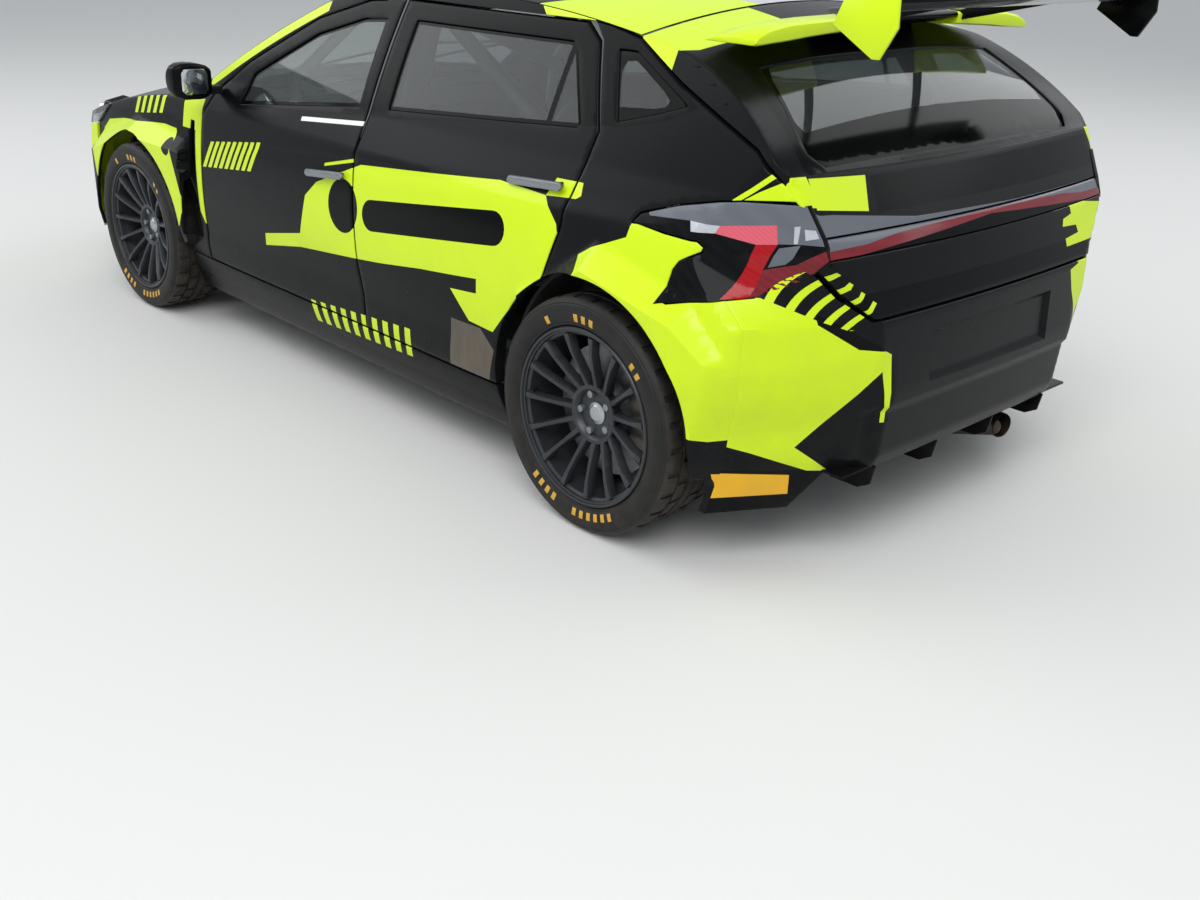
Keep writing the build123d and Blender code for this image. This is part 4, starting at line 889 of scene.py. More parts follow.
handle_metal = worked_metal("satin_grey_metal", "#8d9195", 0.34, 0.8, 500.0, 0.1)
iron = worked_metal("cast_iron", "#55504b", 0.6, 0.9, 200.0, 0.4)
spring_steel = worked_metal("enamelled_spring_steel", "#c8b21c", 0.4, 0.1, 300.0, 0.4)
caliper_metal = worked_metal("anodised_caliper_alloy", "#5f5b55", 0.42, 0.8, 400.0, 0.4)
pipe_steel = worked_metal("heat_tinted_stainless_tube", "#4d443b", 0.45, 1.0, 300.0, 0.6, "#2b2c36")
guard_alloy = worked_metal("scraped_guard_aluminium", "#8a8c8c", 0.5, 0.9, 120.0, 0.7)
disc_steel = turned_steel("turned_disc_steel")
front_film = front_livery("two_tone_bumper_vinyl")
rubber = tyre_rubber("tyre_wall_rubber", "#121314", 0.12)
tread_rubber = tyre_rubber("worn_tread_rubber", "#161617", 0.3)
tinted = car_glass("tinted_side_glass", "#a3acab", 0.03)
privacy = car_glass("dark_rear_glass", "#878e90", 0.03)
screen = car_glass("laminated_windscreen_glass", "#dbe3e1", 0.08)
mirror_glass = worked_metal("silvered_mirror_glass", "#dfe6ea", 0.1, 1.0, 30.0, 0.05)
reflector = worked_metal("vacuum_metallised_reflector", "#c9cdd1", 0.16, 1.0, 200.0, 0.05)
# pale metal painted as the highlights and glints on the tail lamps
painted_highlight_metal = worked_metal("painted_lamp_highlight", "#b9bec4", 0.2, 0.3, 200.0, 0.1)
# pale grey painted as the sky reflected in the lamp tops, the light bar and the tailgate ledge
sky_reflection_acrylic = lamp_acrylic("acrylic_painted_as_sky_reflection", "#646870", "#565a61", 0.05, 25.0)
red_lens = lamp_acrylic("red_lamp_acrylic", "#a80d18", "#7c0a12", 0.05)
pink_lens = lamp_acrylic("frosted_red_acrylic", "#d5616f", "#bd4a58", 0.05, 4.0)
dark_red = lamp_acrylic("deep_red_acrylic", "#7a2029", "#4e141b", 0.05, 8.0)
smoked = lamp_acrylic("smoked_lamp_acrylic", "#0b0c0e", "#17191c", 0.05, 14.0, 0.08)
clear_lens = lamp_acrylic("clear_lamp_acrylic", "#e9edf0", "#c8ced2", 0.9, 9.0)
carbon = carbon_laminate("carbon_laminate")
cloth = woven_cloth("woven_seat_cloth", "#2b2c30", "#0d0d0f", 1.6)
strap = woven_cloth("polyester_harness_webbing", "#b01218", "#5a0a0c", 2.0)
grille_mesh = mesh_fabric("black_grille_mesh", "#24262a", 11.0)
guard_film = stained_guard("mud_stained_guard_film")
gold_paint = worked_metal("gold_tyre_marking_paint", "#c99a2e", 0.5, 0.0)


# Painted shapes on the body, measured from the photograph
# Side shapes over x, z
DOOR_YELLOW = [
    (239, 441), (231, 484), (-6, 532), (-44, 663), (-110, 716), (-189, 746), (-350, 807), (-996, 869),
    (-1180, 861), (-1241, 800), (-1252, 762), (-1244, 714), (-1215, 660), (-1100, 560), (-1010, 455),
    (-905, 462), (-824, 539), (-942, 550), (-942, 592), (-820, 578), (-680, 563), (-472, 534), (-315, 516),
    (2, 484),
]
THIN_LINE = [(-150, 772), (-347, 816), (-347, 827), (-150, 781)]
DOOR_BADGE = round_part((-266, 669), 83, 0, 348, 28)
DOOR_PILL = pill(-712, 706, 292, 47, -7.4)
UPPER_BAR = [(29, 884), (-318, 914), (-318, 927), (29, 897)]
HANDLE_TIP = [(-1180, 861), (-1196, 906), (-1290, 908), (-1298, 878), (-1285, 869), (-1241, 866)]
AMBER_SIDE = [(-1800, 275), (-1900, 262), (-1900, 198), (-1795, 205)]
AMBER_TAIL = [(810, 277), (640, 258), (622, 196), (810, 200)]
HATCH = bars(9, [(592, 738), (568, 740), (628, 644), (652, 642)], (-40, 5.5), (-40, 4.5))
SILL_BARS = bars(10, [(-25, 311), (-55, 312), (-72, 240), (-42, 239)], (-61, 5), (-59, 3))
GUARD = [(-820, 450), (-955, 452), (-1010, 400), (-955, 205), (-790, 205)]
WING_YELLOW = [
    (1187, 322), (1500, 300), (1521, 408), (1546, 566), (1569, 650), (1508, 690), (1350, 715), (961, 748),
    (865, 745), (800, 733), (776, 640), (774, 490), (815, 400),
]
WING_BLACK = [(1508, 692), (1350, 717), (961, 750), (880, 748), (860, 790), (960, 792), (1300, 760), (1490, 735)]
WING_BARS = bars(5, [(1240, 752), (1212, 755), (1186, 822), (1214, 818)], (-56, 7), (-56, 7))
WING_PLATE = [(812, 760), (812, 850), (700, 868), (671, 872), (600, 905), (600, 800), (671, 780), (671, 430),
              (700, 470), (712, 760)]
# black film round the vent opening, painted as the shade inside it so the opening looks wider
VENT_SHADE = [(872, 772), (724, 792), (724, 372), (790, 372), (784, 516), (829, 640)]
WING_OVAL = [(872 + 30 * cos(a), 682 + 32 * sin(a)) for a in (2 * pi * i / 20 for i in range(20))]
QUARTER_YELLOW = [
    (-1334, 742), (-1376, 768), (-1480, 812), (-1488, 846), (-1560, 852), (-1710, 846), (-1710, 660),
    (-1690, 540), (-1393, 322), (-1363, 712),
]
QUARTER_TOP = [(-1717, 921), (-1776, 971), (-1830, 1022), (-1842, 1016), (-1783, 962), (-1732, 919)]
WEDGE = [(-1742, 926), (-1794, 964), (-1850, 997), (-1930, 1000), (-1930, 930), (-1817, 925)]
BUMPER_SIDE = [(-1600, 700), (-1835, 730), (-1910, 560), (-1900, 430), (-1845, 372), (-1802, 368), (-1764, 380),
               (-1700, 390), (-1600, 322)]
# Tail shapes over y, z
WEDGE_TAIL = [(645, 1000), (690, 1030), (720, 1000), (700, 940), (629, 934)]
GATE_PATCH = [(640, 996), (451, 988), (474, 912), (640, 930)]
COMB = bars(5, [(735, 712), (720, 706), (652, 815), (664, 822)], (-36, -14), (-36, -26))
COMB_BASE = [(800, 724), (735, 724), (640, 648), (560, 650), (800, 600)]
TAIL_YELLOW = [
    (900, 724), (736, 724), (600, 655), (463, 583), (446, 395), (484, 540), (649, 340), (485, 210),
    (602, 268), (745, 330), (869, 378), (900, 380),
]
TAIL_STRIP = [(470, 585), (456, 580), (438, 395), (452, 395)]
# pale band above the light bar, painted as the sky reflected in the upward-facing ledge
GATE_SKY_SHEEN = [(664, 868), (658, 925), (634, 918), (596, 916), (312, 884), (-143, 874), (-664, 872), (-664, 866)]
WEDGE_RIGHT = [(-650, 1030), (-720, 1030), (-720, 900), (-656, 900), (-668, 960)]
COMB_RIGHT = [(-383, 826), (-418, 820), (-424, 800), (-372, 792), (-366, 772), (-452, 766), (-462, 744), (-380, 738),
              (-384, 716), (-620, 716), (-670, 800), (-480, 826)]
TAIL_BLACK_WEDGE = [(640, 690), (580, 655), (470, 590), (545, 600), (640, 665)]
RIGHT_YELLOW = [(-384, 724), (-352, 690), (-452, 664), (-400, 650), (-420, 590), (-470, 488), (-484, 540), (-649, 340),
                (-485, 210), (-602, 268), (-745, 330), (-869, 378), (-900, 380), (-900, 724)]

# Outlines of the panels
FRONT_DOOR = [
    (664, 302), (664, 800), (612, 902), (440, 1018), (95, 1186), (-150, 1256), (-322, 1270), (-314, 950),
    (-306, 810), (-353, 337), (-353, 302),
]
REAR_DOOR = [
    (-361, 302), (-361, 337), (-314, 810), (-334, 950), (-344, 1271), (-1110, 1272), (-1178, 1230),
    (-1278, 1030), (-1250, 789),
] + round_part(REAR_AXLE, REAR_ARCH, 60.0, -3.0, 16)
FRONT_PANE = [(430, 884), (395, 985), (75, 1142), (-150, 1206), (-268, 1216), (-268, 962)]
REAR_PANE = [(-415, 972), (-415, 1222), (-1086, 1226), (-1118, 1200), (-1212, 1040), (-1205, 1028)]
QUARTER_PANE = [(-1330, 1058), (-1252, 1222), (-1312, 1222), (-1528, 1118), (-1440, 1088)]
LAMP = [(-1487, 849), (-1502, 872), (-1600, 905), (-1712, 931), (-1760, 938), (-1890, 943), (-1931, 870),
        (-1951, 823), (-1890, 760), (-1821, 724), (-1781, 716), (-1651, 690), (-1627, 688), (-1624, 708),
        (-1637, 767), (-1652, 790), (-1698, 814), (-1700, 826), (-1685, 839), (-1593, 842)]


def arch_lines(table):
    """The two lines over x, z between which a wheel bulge rolls back to the body."""
    return [[(row[0], row[3] - away) for row in table] for away in (BULGE_EDGE, 0)]


BODY = [graphite, yellow, black_film, white_film, gloss_black, guard_film, silver_film_and_sky_sheen, sky_reflection_acrylic, amber_film,
        inner_trim]
YELLOW, BLACK, WHITE, GLOSS, FILM, ROOF_SKY_SHEEN, REFLECTION_PAINT, AMBER = range(1, 9)
LEFT = (0, -1, 0)
DOWN = (0, 0, -1)
AHEAD = (1, 0, 0)


def level(x_low, x_high):
    """The two long lines where the side changes slope."""
    return [[(x_low, z), (x_high, z)] for z in (SHOULDER_Z, BELT_Z)]


def in_yellow(shapes):
    """Shapes painted in the livery's yellow."""
    return [(YELLOW, shape) for shape in shapes]


def pair(finish, shape):
    """A painted shape over x, y and its twin over the middle line."""
    return [(finish, shape), (finish, [(x, -y) for x, y in shape])]


def both(left, name, nodes=None, body="car", right_body=None):
    """The left piece and its twin, placed on their bodies and standing for their nodes."""
    left.name = left.data.name = name + "_left"
    right = mirrored(left, name + "_right")
    for piece, side, carrier in ((left, "left", body), (right, "right", right_body or body)):
        set_on(carrier, piece, *[node.replace("SIDE", side) for node in nodes or ()])
    return left, right


def rim_part(x_from, x_to, count, drop=0.0, side=True):
    """Points along the long edge of the body, over x, z or over x, y."""
    made = []
    for i in range(count + 1):
        x = x_from + (x_to - x_from) * i / count
        z = rim_line(x)
        made.append((x, z - drop) if side else (x, min(side_y(x, z), plan_y(x, z)) - drop))
    return made


FRAME_BLACK = [(700, 838), (498, 861), (73, 909), (-398, 948), (-1330, 1046), (-1330, 1320), (700, 1320)]

# Doors: painted steel skins with the pane openings, black frames and a pressed lower half
front_door = panel(
    "door_front", FRONT_DOOR, on_side, LEFT, BODY,
    [(BLACK, FRAME_BLACK), (YELLOW, DOOR_YELLOW), (YELLOW, THIN_LINE), (GLOSS, DOOR_BADGE), (GLOSS, DOOR_PILL),
     (WHITE, UPPER_BAR)] + in_yellow(HATCH + SILL_BARS),
    [FRONT_PANE], level(-400, 700), depth=20)
both(front_door, "door_front_skin", ["door_front_SIDE"], "front_door_left", "front_door_right")
rear_door = panel(
    "door_rear", REAR_DOOR, on_side, LEFT, BODY,
    [(BLACK, FRAME_BLACK), (YELLOW, DOOR_YELLOW), (GLOSS, DOOR_BADGE), (GLOSS, DOOR_PILL),
     (FILM, GUARD), (YELLOW, HANDLE_TIP)] + in_yellow(SILL_BARS),
    [REAR_PANE], level(-1300, -300) + arch_lines(REAR_FLARE), depth=34)
both(rear_door, "door_rear_skin", ["door_rear_SIDE"], "rear_door_left", "rear_door_right")

# Front wing: side with the bulge and the open vent, and its top beside the bonnet
wing_side = [(671, 299), (671, 800)] + rim_part(671, 1498, 16)
wing_side += [(1500, 752), (1637, 659), (1637, 150), (1517, 150)]
wing_side += round_part(FRONT_AXLE, FRONT_ARCH, -27.5, 183.5, 40)
# the black round the vent hole is painted shade that widens the opening
wing_skin = panel(
    "wing_skin", wing_side, on_side, LEFT, BODY,
    [(YELLOW, WING_YELLOW), (BLACK, WING_BLACK), (BLACK, VENT_SHADE), (YELLOW, WING_PLATE), (GLOSS, WING_OVAL)]
    + in_yellow(WING_BARS),
    [[(722, 790), (754, 792), (800, 372), (712, 372)]],
    level(600, 1700) + arch_lines(FRONT_FLARE), depth=14)
wing_top = [(925, 647), (1300, 647), (1498, 632), (1498, 812)] + rim_part(1497, 671, 16, side=False)
wing_top += [(671, 703), (925, 703)]
wing_lid = panel(
    "wing_lid", wing_top, on_top, DOWN, BODY, [(YELLOW, [(671, 600), (671, 900), (900, 900), (1000, 600)])], depth=14)
both(joined("front_wing", wing_skin, wing_lid), "front_wing_skin", ["front_wings"])

# Side skirt
skirt = [(668, 296), (812, 296)] + round_part(FRONT_AXLE, FRONT_ARCH, 184, 207, 4) + [(-1050, 150)]
skirt += round_part(REAR_AXLE, REAR_ARCH, -27, -4, 4)
skirt_skin = panel(
    "skirt", skirt, on_side, LEFT, BODY,
    [(BLACK, [(900, 140), (900, 225), (-1100, 225), (-1100, 140)])] + in_yellow(SILL_BARS),
    folds=[[(900, 255), (-1100, 255)]], depth=30)
both(skirt_skin, "side_skirt_skin", ["side_skirts"])

# Rear quarter with its bulge and window
quarter = [
    (-1211, 655), (-1258, 786), (-1285, 1032), (-1187, 1236), (-1140, 1276), (-1200, 1270), (-1305, 1250),
    (-1483, 1159), (-1758, 1045), (-1843, 981), (-1872, 950), (-1760, 941), (-1712, 934), (-1600, 908),
    (-1500, 875), (-1484, 849), (-1592, 839), (-1683, 836), (-1697, 825), (-1695, 816), (-1649, 788),
    (-1634, 766), (-1621, 707), (-1622, 685), (-1640, 690), (-1633, 622),
] + round_part(REAR_AXLE, REAR_ARCH, 128.5, 62, 24)
quarter_skin = panel(
    "quarter", quarter, on_side, LEFT, BODY,
    [(YELLOW, QUARTER_YELLOW), (YELLOW, QUARTER_TOP), (YELLOW, WEDGE), (YELLOW, HANDLE_TIP),
     (BLACK, [(-1136, 1300), (-1136, 1040), (-1330, 1046), (-1470, 1075), (-1560, 1118), (-1320, 1250)])],
    [QUARTER_PANE], level(-1900, -1200) + arch_lines(REAR_FLARE), depth=24)
both(quarter_skin, "rear_quarter_skin", ["rear_quarters"])

# Rear bumper: a side part behind the wheel and the wrapped tail part, tucked in below a rising crease
CREASE = [(-2100, 590), (-2022, 585), (-1948, 565), (-1871, 549), (-1751, 537), (-1600, 530)]
TUCK, TUCK_HEIGHT = 0.15, 170  # slope of the part below the crease, and how far down it goes on


def ramp(reach, width):
    """Share from 0 to 1 over a width."""
    return min(1, max(0, reach / width))


def tucked(point):
    """The point moved inward where it lies below the crease of the corner."""
    drop = TUCK * min(max(line_value(CREASE, point.x) - point.z, 0), TUCK_HEIGHT)
    share = ramp(-1690 - point.x, 60) * ramp(abs(point.y) - 440, 40)
    return point + Vector((0.8, -0.55, 0)) * drop * share


def on_bumper_side(u, v):
    """Side form with the tucked-in corner."""
    return tucked(on_side(u, v))


corner = [(tail_x(800, z), z) for z in (716, 660, 600, 480, 400, 300, 220, 150)]
bumper_side = [(-1640, 690), (-1651, 688)] + corner + round_part(REAR_AXLE, REAR_ARCH, 207, 128.5, 20)
bumper_wing = panel(
    "bumper_side", bumper_side, on_bumper_side, LEFT, BODY, [(YELLOW, BUMPER_SIDE), (AMBER, AMBER_SIDE)],
    folds=arch_lines(REAR_FLARE) + [[(-1690, 534), (-1751, 537), (-1842, 546)]],
    depth=24, edge=2.0)
bumper_right = mirrored(bumper_wing, "bumper_side_right")
bumper_half = [(606, 150), (800, 150), (800, 715), (744, 722), (664, 797), (604, 727), (522, 667)]
bumper_tail = across(bumper_half) + [(-560, 262), (560, 262)]


PLATE_HALF, PLATE_TOP, PLATE_LOW, PLATE_DEEP, PLATE_WALL = 290, 612, 470, 12, 14
STEP_HALF, STEP_Z, STEP_DEEP = 520, 440, 10


def on_bumper(u, v):
    """Tail form with the plate recess and the step over the diffuser."""
    spot = tucked(Vector((tail_x(u, v), abs(u), v)))
    recess = PLATE_DEEP * ramp(PLATE_HALF - abs(u), PLATE_WALL) * ramp(PLATE_TOP - v, PLATE_WALL) * ramp(
        v - PLATE_LOW, PLATE_WALL)
    step = STEP_DEEP * ramp(STEP_HALF - abs(u), 30) * ramp(STEP_Z - v, 16)
    return Vector((spot.x + recess + step, spot.y if u > 0 else -spot.y, v))


recess = across([(PLATE_HALF, PLATE_TOP), (PLATE_HALF, PLATE_LOW)])
recess_floor = ring_in(recess, PLATE_WALL)
bumper_centre = panel(
    "bumper_tail", bumper_tail, on_bumper, AHEAD, BODY,
    [(YELLOW, TAIL_YELLOW), (YELLOW, COMB_BASE), (BLACK, TAIL_BLACK_WEDGE), (YELLOW, TAIL_STRIP),
     (YELLOW, RIGHT_YELLOW), (BLACK, [(800, 140), (800, 285), (520, 262), (-800, 262), (-800, 140)]),
     (AMBER, AMBER_TAIL)] + in_yellow(COMB),
    folds=[recess + recess[:1], recess_floor + recess_floor[:1],
           [(STEP_HALF, STEP_Z), (-STEP_HALF, STEP_Z)], [(STEP_HALF, STEP_Z - 16), (-STEP_HALF, STEP_Z - 16)],
           [(800, 480), (480, 480), (480, 150)], [(-800, 480), (-480, 480), (-480, 150)],
           [(480, 480), (500, 660)], [(-480, 480), (-500, 660)], [(800, 660), (-800, 660)],
           [(800, 546), (618, 565), (469, 585)], [(-800, 546), (-618, 565), (-469, 585)]],
    depth=24, edge=2.0)
set_on("car", joined("rear_bumper_skin", bumper_centre, bumper_wing, bumper_right), "rear_bumper")

# Tailgate: two pressings above and below the light bar, the frame round the glass and its sides
band_up = across([(690, 1001), (696, 975), (660, 900), (656, 871)])
band_low = across([(646, 821), (654, 800), (598, 738), (519, 674)])
# the band over the light bar is painted pale as a sky reflection
gate_up = panel(
    "gate_up", band_up, on_tail, AHEAD, BODY,
    [(YELLOW, WEDGE_TAIL), (YELLOW, GATE_PATCH), (BLACK, [(440, 985), (440, 905), (-640, 905), (-640, 985)]),
     (YELLOW, WEDGE_RIGHT), (REFLECTION_PAINT, GATE_SKY_SHEEN)], depth=22)
gate_low = panel("gate_low", band_low, on_tail, AHEAD, BODY,
                 [(BLACK, [(560, 736), (560, 660), (-600, 660), (-600, 736)])] + in_yellow(COMB + [COMB_RIGHT]),
                 depth=22)


def glass_corner(y, z):
    """Place over x, y where the sloping top is at height z."""
    low, high = -1889.0, -1480.0
    for _ in range(22):
        x = (low + high) / 2
        if top_z(x, y) < z:
            low = x
        else:
            high = x
    return (low, y)


pane = [glass_corner(y, z) for y, z in ((560, 1012), (590, 1040), (510, 1205), (0, 1222), (-510, 1205),
                                        (-590, 1040), (-560, 1012), (0, 1012))]
gate_edge = rim_part(-1310, -1848, 16, side=False)
shelf = [(tail_x(y, 1003), y) for y in (650, 500, 300, 150, 0)]
gate_top = whole(gate_edge + shelf)
GATE_YELLOW = [(-1300, 250), (-1300, 690), (-1444, 660), (-1441, 640), (-1470, 602), (-1482, 500), (-1482, 250)]
gate_frame = panel(
    "gate_frame", gate_top, on_top, DOWN, BODY,
    pair(YELLOW, GATE_YELLOW) + [(BLACK, [(-1500, 540), (-1500, -540), (-1900, -650), (-1900, 650)])],
    [pane], depth=22)
flange = rim_part(-1311, -1848, 16) + [(-1850, 989), (-1761, 1053), (-1486, 1167), (-1312, 1252)]
gate_side = panel("gate_side", flange, on_side, LEFT, BODY,
                  [(YELLOW, [(-1300, 1300), (-1300, 1240), (-1440, 1185), (-1430, 1300)])], depth=16, edge=2.0)
slots = [side_plate("pillar_slot", pill(x, z, 13, 2.2, -4), side_y(x, z) - 3, side_y(x, z) + 1.2, seal, 0.4)
         for x, z in ((-1503, 1206), (-1566, 1172), (-1620, 1136))]
slots += [mirrored(slot, "pillar_slot_right") for slot in slots]
gate_twin = mirrored(gate_side, "gate_side_right")
set_on("tailgate_lid", joined("tailgate_skin", gate_frame, gate_up, gate_low, gate_side, gate_twin, *slots), "tailgate")

# Roof skin with the screen pillars, and the rails over the doors
roof_half = [(112, 0), (118, 301), (140, 541), (668, 625)] + rim_part(668, -1303, 40, 1.0, False) + [(-1303, 0)]
# the pale silver middle of the roof is painted as the sky reflected in it
roof_skin = panel(
    "roof_skin", whole(roof_half), over_top, DOWN, BODY,
    pair(BLACK, [(700, 560), (700, 900), (-200, 900), (-60, 560)])
    + [(ROOF_SKY_SHEEN, [(200, 330), (-1320, 330), (-1320, -330), (200, -330)])]
    + pair(YELLOW, [(-860, 700), (-1320, 700), (-1320, 190), (-1180, 230), (-1010, 470)]),
    [[(62, 151), (62, -151), (-204, -151), (-204, 151)]], depth=1.0)
set_on("car", roof_skin)
rail = rim_part(667, -1135, 40, 1.0)
rail += [(-1135, 1279), (-322, 1278), (-150, 1264), (98, 1194), (443, 1026), (618, 908), (667, 816)]
rail_skin = panel("rail_skin", rail, over_side, LEFT, BODY,
                  [(BLACK, [(700, 1300), (700, 780), (-1000, 1270), (-1000, 1330), (0, 1330)]),
                   (YELLOW, rim_part(700, 60, 16) + rim_part(60, 700, 16, 34.0)),
                   (YELLOW, [(-900, 1320), (-1140, 1320), (-1140, 1270), (-960, 1272)])], depth=1.0, edge=1.5)
both(rail_skin, "roof_rail_skin")

# Glass: panes set a little into the body, each with the black ceramic border of a bonded pane
def pane_of(name, outline, form, inward, glass, clear, step=30, gap=0.6):
    """Pane a gap smaller than its opening: black border, then the clear part and any bars."""
    return panel(name, ring_in(outline, gap), form, inward, [gloss_black, glass], clear, step=step, depth=4, edge=1.0)


BORDER = 11
front_pane = pane_of("pane", FRONT_PANE, on_pane, LEFT, tinted, [(1, ring_in(FRONT_PANE, BORDER))])
both(front_pane, "front_door_pane", ["glass_front_SIDE"], "front_door_left", "front_door_right")
rear_pane = pane_of("pane", REAR_PANE, on_pane, LEFT, privacy, [
    (1, ring_in(REAR_PANE, BORDER)), (0, [(-1085, 1300), (-1105, 1300), (-1105, 900), (-1085, 900)])])
both(rear_pane, "rear_door_pane", ["glass_rear_SIDE"], "rear_door_left", "rear_door_right")
QUARTER_CLEAR = [(-1318, 1092), (-1282, 1172), (-1290, 1196), (-1318, 1200), (-1360, 1180), (-1440, 1140),
                 (-1466, 1122), (-1460, 1108), (-1425, 1100)]
quarter_pane = pane_of("pane", QUARTER_PANE, on_pane, LEFT, privacy, [(1, QUARTER_CLEAR)], 25)
both(quarter_pane, "quarter_pane", ["quarter_glass"])
SCREEN = whole([(902, 0), (890, 400), (858, 655), (140, 540), (118, 300), (112, 0)])
SCREEN_CLEAR = whole([(868, 0), (858, 390), (826, 622), (208, 528), (190, 300), (184, 0)])
set_on("car", pane_of("windscreen_pane", SCREEN, on_screen, DOWN, screen, [(1, SCREEN_CLEAR)], 24), "windscreen")
seal_line = spaced(SCREEN, 60)
set_on("car", tube("windscreen_seal", [(x, y, top_z(x, y) - 1.4) for x, y in seal_line + seal_line[:1]], 3.4, seal))
GATE_CLEAR = whole([(-1758, 0), (-1760, 240), (-1768, 545), (-1740, 552), (-1625, 505), (-1590, 480), (-1572, 440),
                    (-1562, 380), (-1556, 0)])
gate_pane = pane_of("tailgate_pane", pane, on_screen, DOWN, tinted, [(1, GATE_CLEAR)], gap=0.8)
set_on("tailgate_lid", gate_pane, "tailgate_glass")

# Tail lamps: a pale shelf and cell painted as the sky reflected in the lens, painted highlights, the red Z and the
# smoked glass, over a dark housing
LAMP_SHELF_REFLECTION = [(-1505, 905), (-1530, 872), (-1650, 880), (-1725, 879), (-1838, 893), (-1846, 851), (-1891, 855),
              (-1945, 856), (-1900, 960), (-1700, 950)]
LAMP_PAINTED_GLINT = [(-1650, 880), (-1662, 858), (-1717, 861), (-1725, 879)]
LAMP_PINK = [(-1725, 879), (-1838, 893), (-1846, 850), (-1803, 845), (-1717, 861)]
LAMP_RED = [(-1803, 845), (-1846, 850), (-1820, 786), (-1811, 722), (-1768, 718), (-1782, 766)]
LAMP_DEEP = [(-1820, 787), (-1886, 807), (-1945, 848), (-1970, 820), (-1860, 740), (-1811, 718)]
LAMP_CELL_REFLECTION = [(-1850, 842), (-1891, 853), (-1880, 821), (-1864, 805), (-1830, 794)]
LAMP_HIGHLIGHT_STRIPE = [(-1873, 894), (-1885, 896), (-1885, 856), (-1877, 855)]
LAMP_HIGHLIGHT_PATCH = [(-1894, 890), (-1916, 890), (-1925, 873), (-1899, 865)]
LENS = [smoked, sky_reflection_acrylic, pink_lens, red_lens, dark_red, painted_highlight_metal, plastic]
lamp_cover = panel(
    "lamp_cover", ring_in(LAMP, 0.8), on_side, LEFT, LENS,
    [(1, LAMP_SHELF_REFLECTION), (5, LAMP_PAINTED_GLINT), (2, LAMP_PINK), (3, LAMP_RED), (4, LAMP_DEEP), (1, LAMP_CELL_REFLECTION),
     (5, LAMP_HIGHLIGHT_STRIPE), (5, LAMP_HIGHLIGHT_PATCH)],
    folds=[[(-1486, 850), (-1593, 862), (-1700, 868), (-1880, 880)]], step=10, depth=20, edge=3.0)
both(lamp_cover, "tail_lamp", ["tail_lamps"])

# Light bar: a slim strip that rises toward the middle, red below a pale highlight
BAR = across([(643, 823.5), (643, 866.5)])
BAR_TOP = [(650, 842), (605, 843), (509, 845), (398, 856), (289, 860), (0, 866)]
BAR_LOW = [(0, 855), (301, 838), (517, 826), (650, 821)]
BAR_RED = BAR_TOP + [(-y, z) for y, z in BAR_TOP[-2::-1] + BAR_LOW[:0:-1]] + BAR_LOW
# the pale band above the red is a painted highlight
BAR_HIGHLIGHT = [(650, 870)] + BAR_TOP[:-1] + [(-y, z) for y, z in BAR_TOP[-2::-1]] + [(-650, 870)]
bar_cover = panel("light_bar_cover", BAR, on_tail, AHEAD, [gloss_black, dark_red, sky_reflection_acrylic, plastic],
                  [(2, BAR_HIGHLIGHT), (1, BAR_RED)], step=12, depth=18, edge=4.0)
set_on("tailgate_lid", bar_cover, "light_bar")

# Door handles: satin bars standing off the skin on two feet
def grip(front, rear, y):
    """Grip bar between two points over x, z, six-sided in side view, with its two feet."""
    (x0, z0), (x1, z1) = front, rear
    edge = [(x0, z0 - 3), (x0 - 14, z0 - 12), (x1 + 12, z1 - 12), (x1, z1 - 2), (x1 + 10, z1 + 11), (x0 - 10, z0 + 11)]
    parts = [side_plate("handle", edge, y + 10, y + 24, handle_metal, 4.0)]
    for share in (0.14, 0.86):
        x, z = x0 + (x1 - x0) * share, z0 + (z1 - z0) * share
        parts.append(rod("handle_foot", (x, y - 12, z), (x, y + 16, z), 8, plastic))
    return joined("handle", *parts)


both(grip((-70, 744), (-290, 764), 862), "front_door_handle", None, "front_door_left", "front_door_right")
both(grip((-1030, 880), (-1250, 894), 824), "rear_door_handle", None, "rear_door_left", "rear_door_right")

# Mirrors: a bent shell with the glass set into its back
MIRROR = [  # y, back x, nose x, low z, high z
    (864, 532, 612, 910, 992), (880, 528, 630, 900, 1003), (908, 525, 638, 893, 1011), (940, 525, 637, 894, 1014),
    (968, 528, 630, 897, 1013), (988, 535, 616, 904, 1006), (999, 543, 600, 918, 996),
]


def mirror_ring(y, back, nose, low, high):
    """Sixteen points of a section with a round nose and small back corners."""
    belly, mid, half = nose - (high - low) * 0.42, (low + high) / 2, (high - low) / 2
    arc = [(belly + (nose - belly) * sin(radians(a)), mid - half * cos(radians(a))) for a in range(0, 181, 18)]
    ring = [(back + 8, low)] + arc + [(back + 8, high), (back, high - 8), (back, low + 8)]
    return [(x, y, z) for x, z in ring]


mirror_shell = rounded(lofted("mirror", [mirror_ring(*row) for row in MIRROR], black_film), 3.0, 2, 50)
mirror_face = plate("mirror_face", [(527, y, z) for y, z in (
    (884, 926), (894, 912), (964, 912), (978, 926), (978, 982), (966, 996), (896, 994), (884, 980))],
    (-5, 0, 0), mirror_glass, 1.0)
mirror_stalk = plate("mirror_stalk", [(556, y, z) for y, z in (
    (812, 902), (880, 904), (900, 910), (900, 928), (812, 930))], (46, 0, 0), plastic, 4.0)
both(joined("mirror", mirror_shell, mirror_face, mirror_stalk), "door_mirror", ["mirror_SIDE"],
     "front_door_left", "front_door_right")

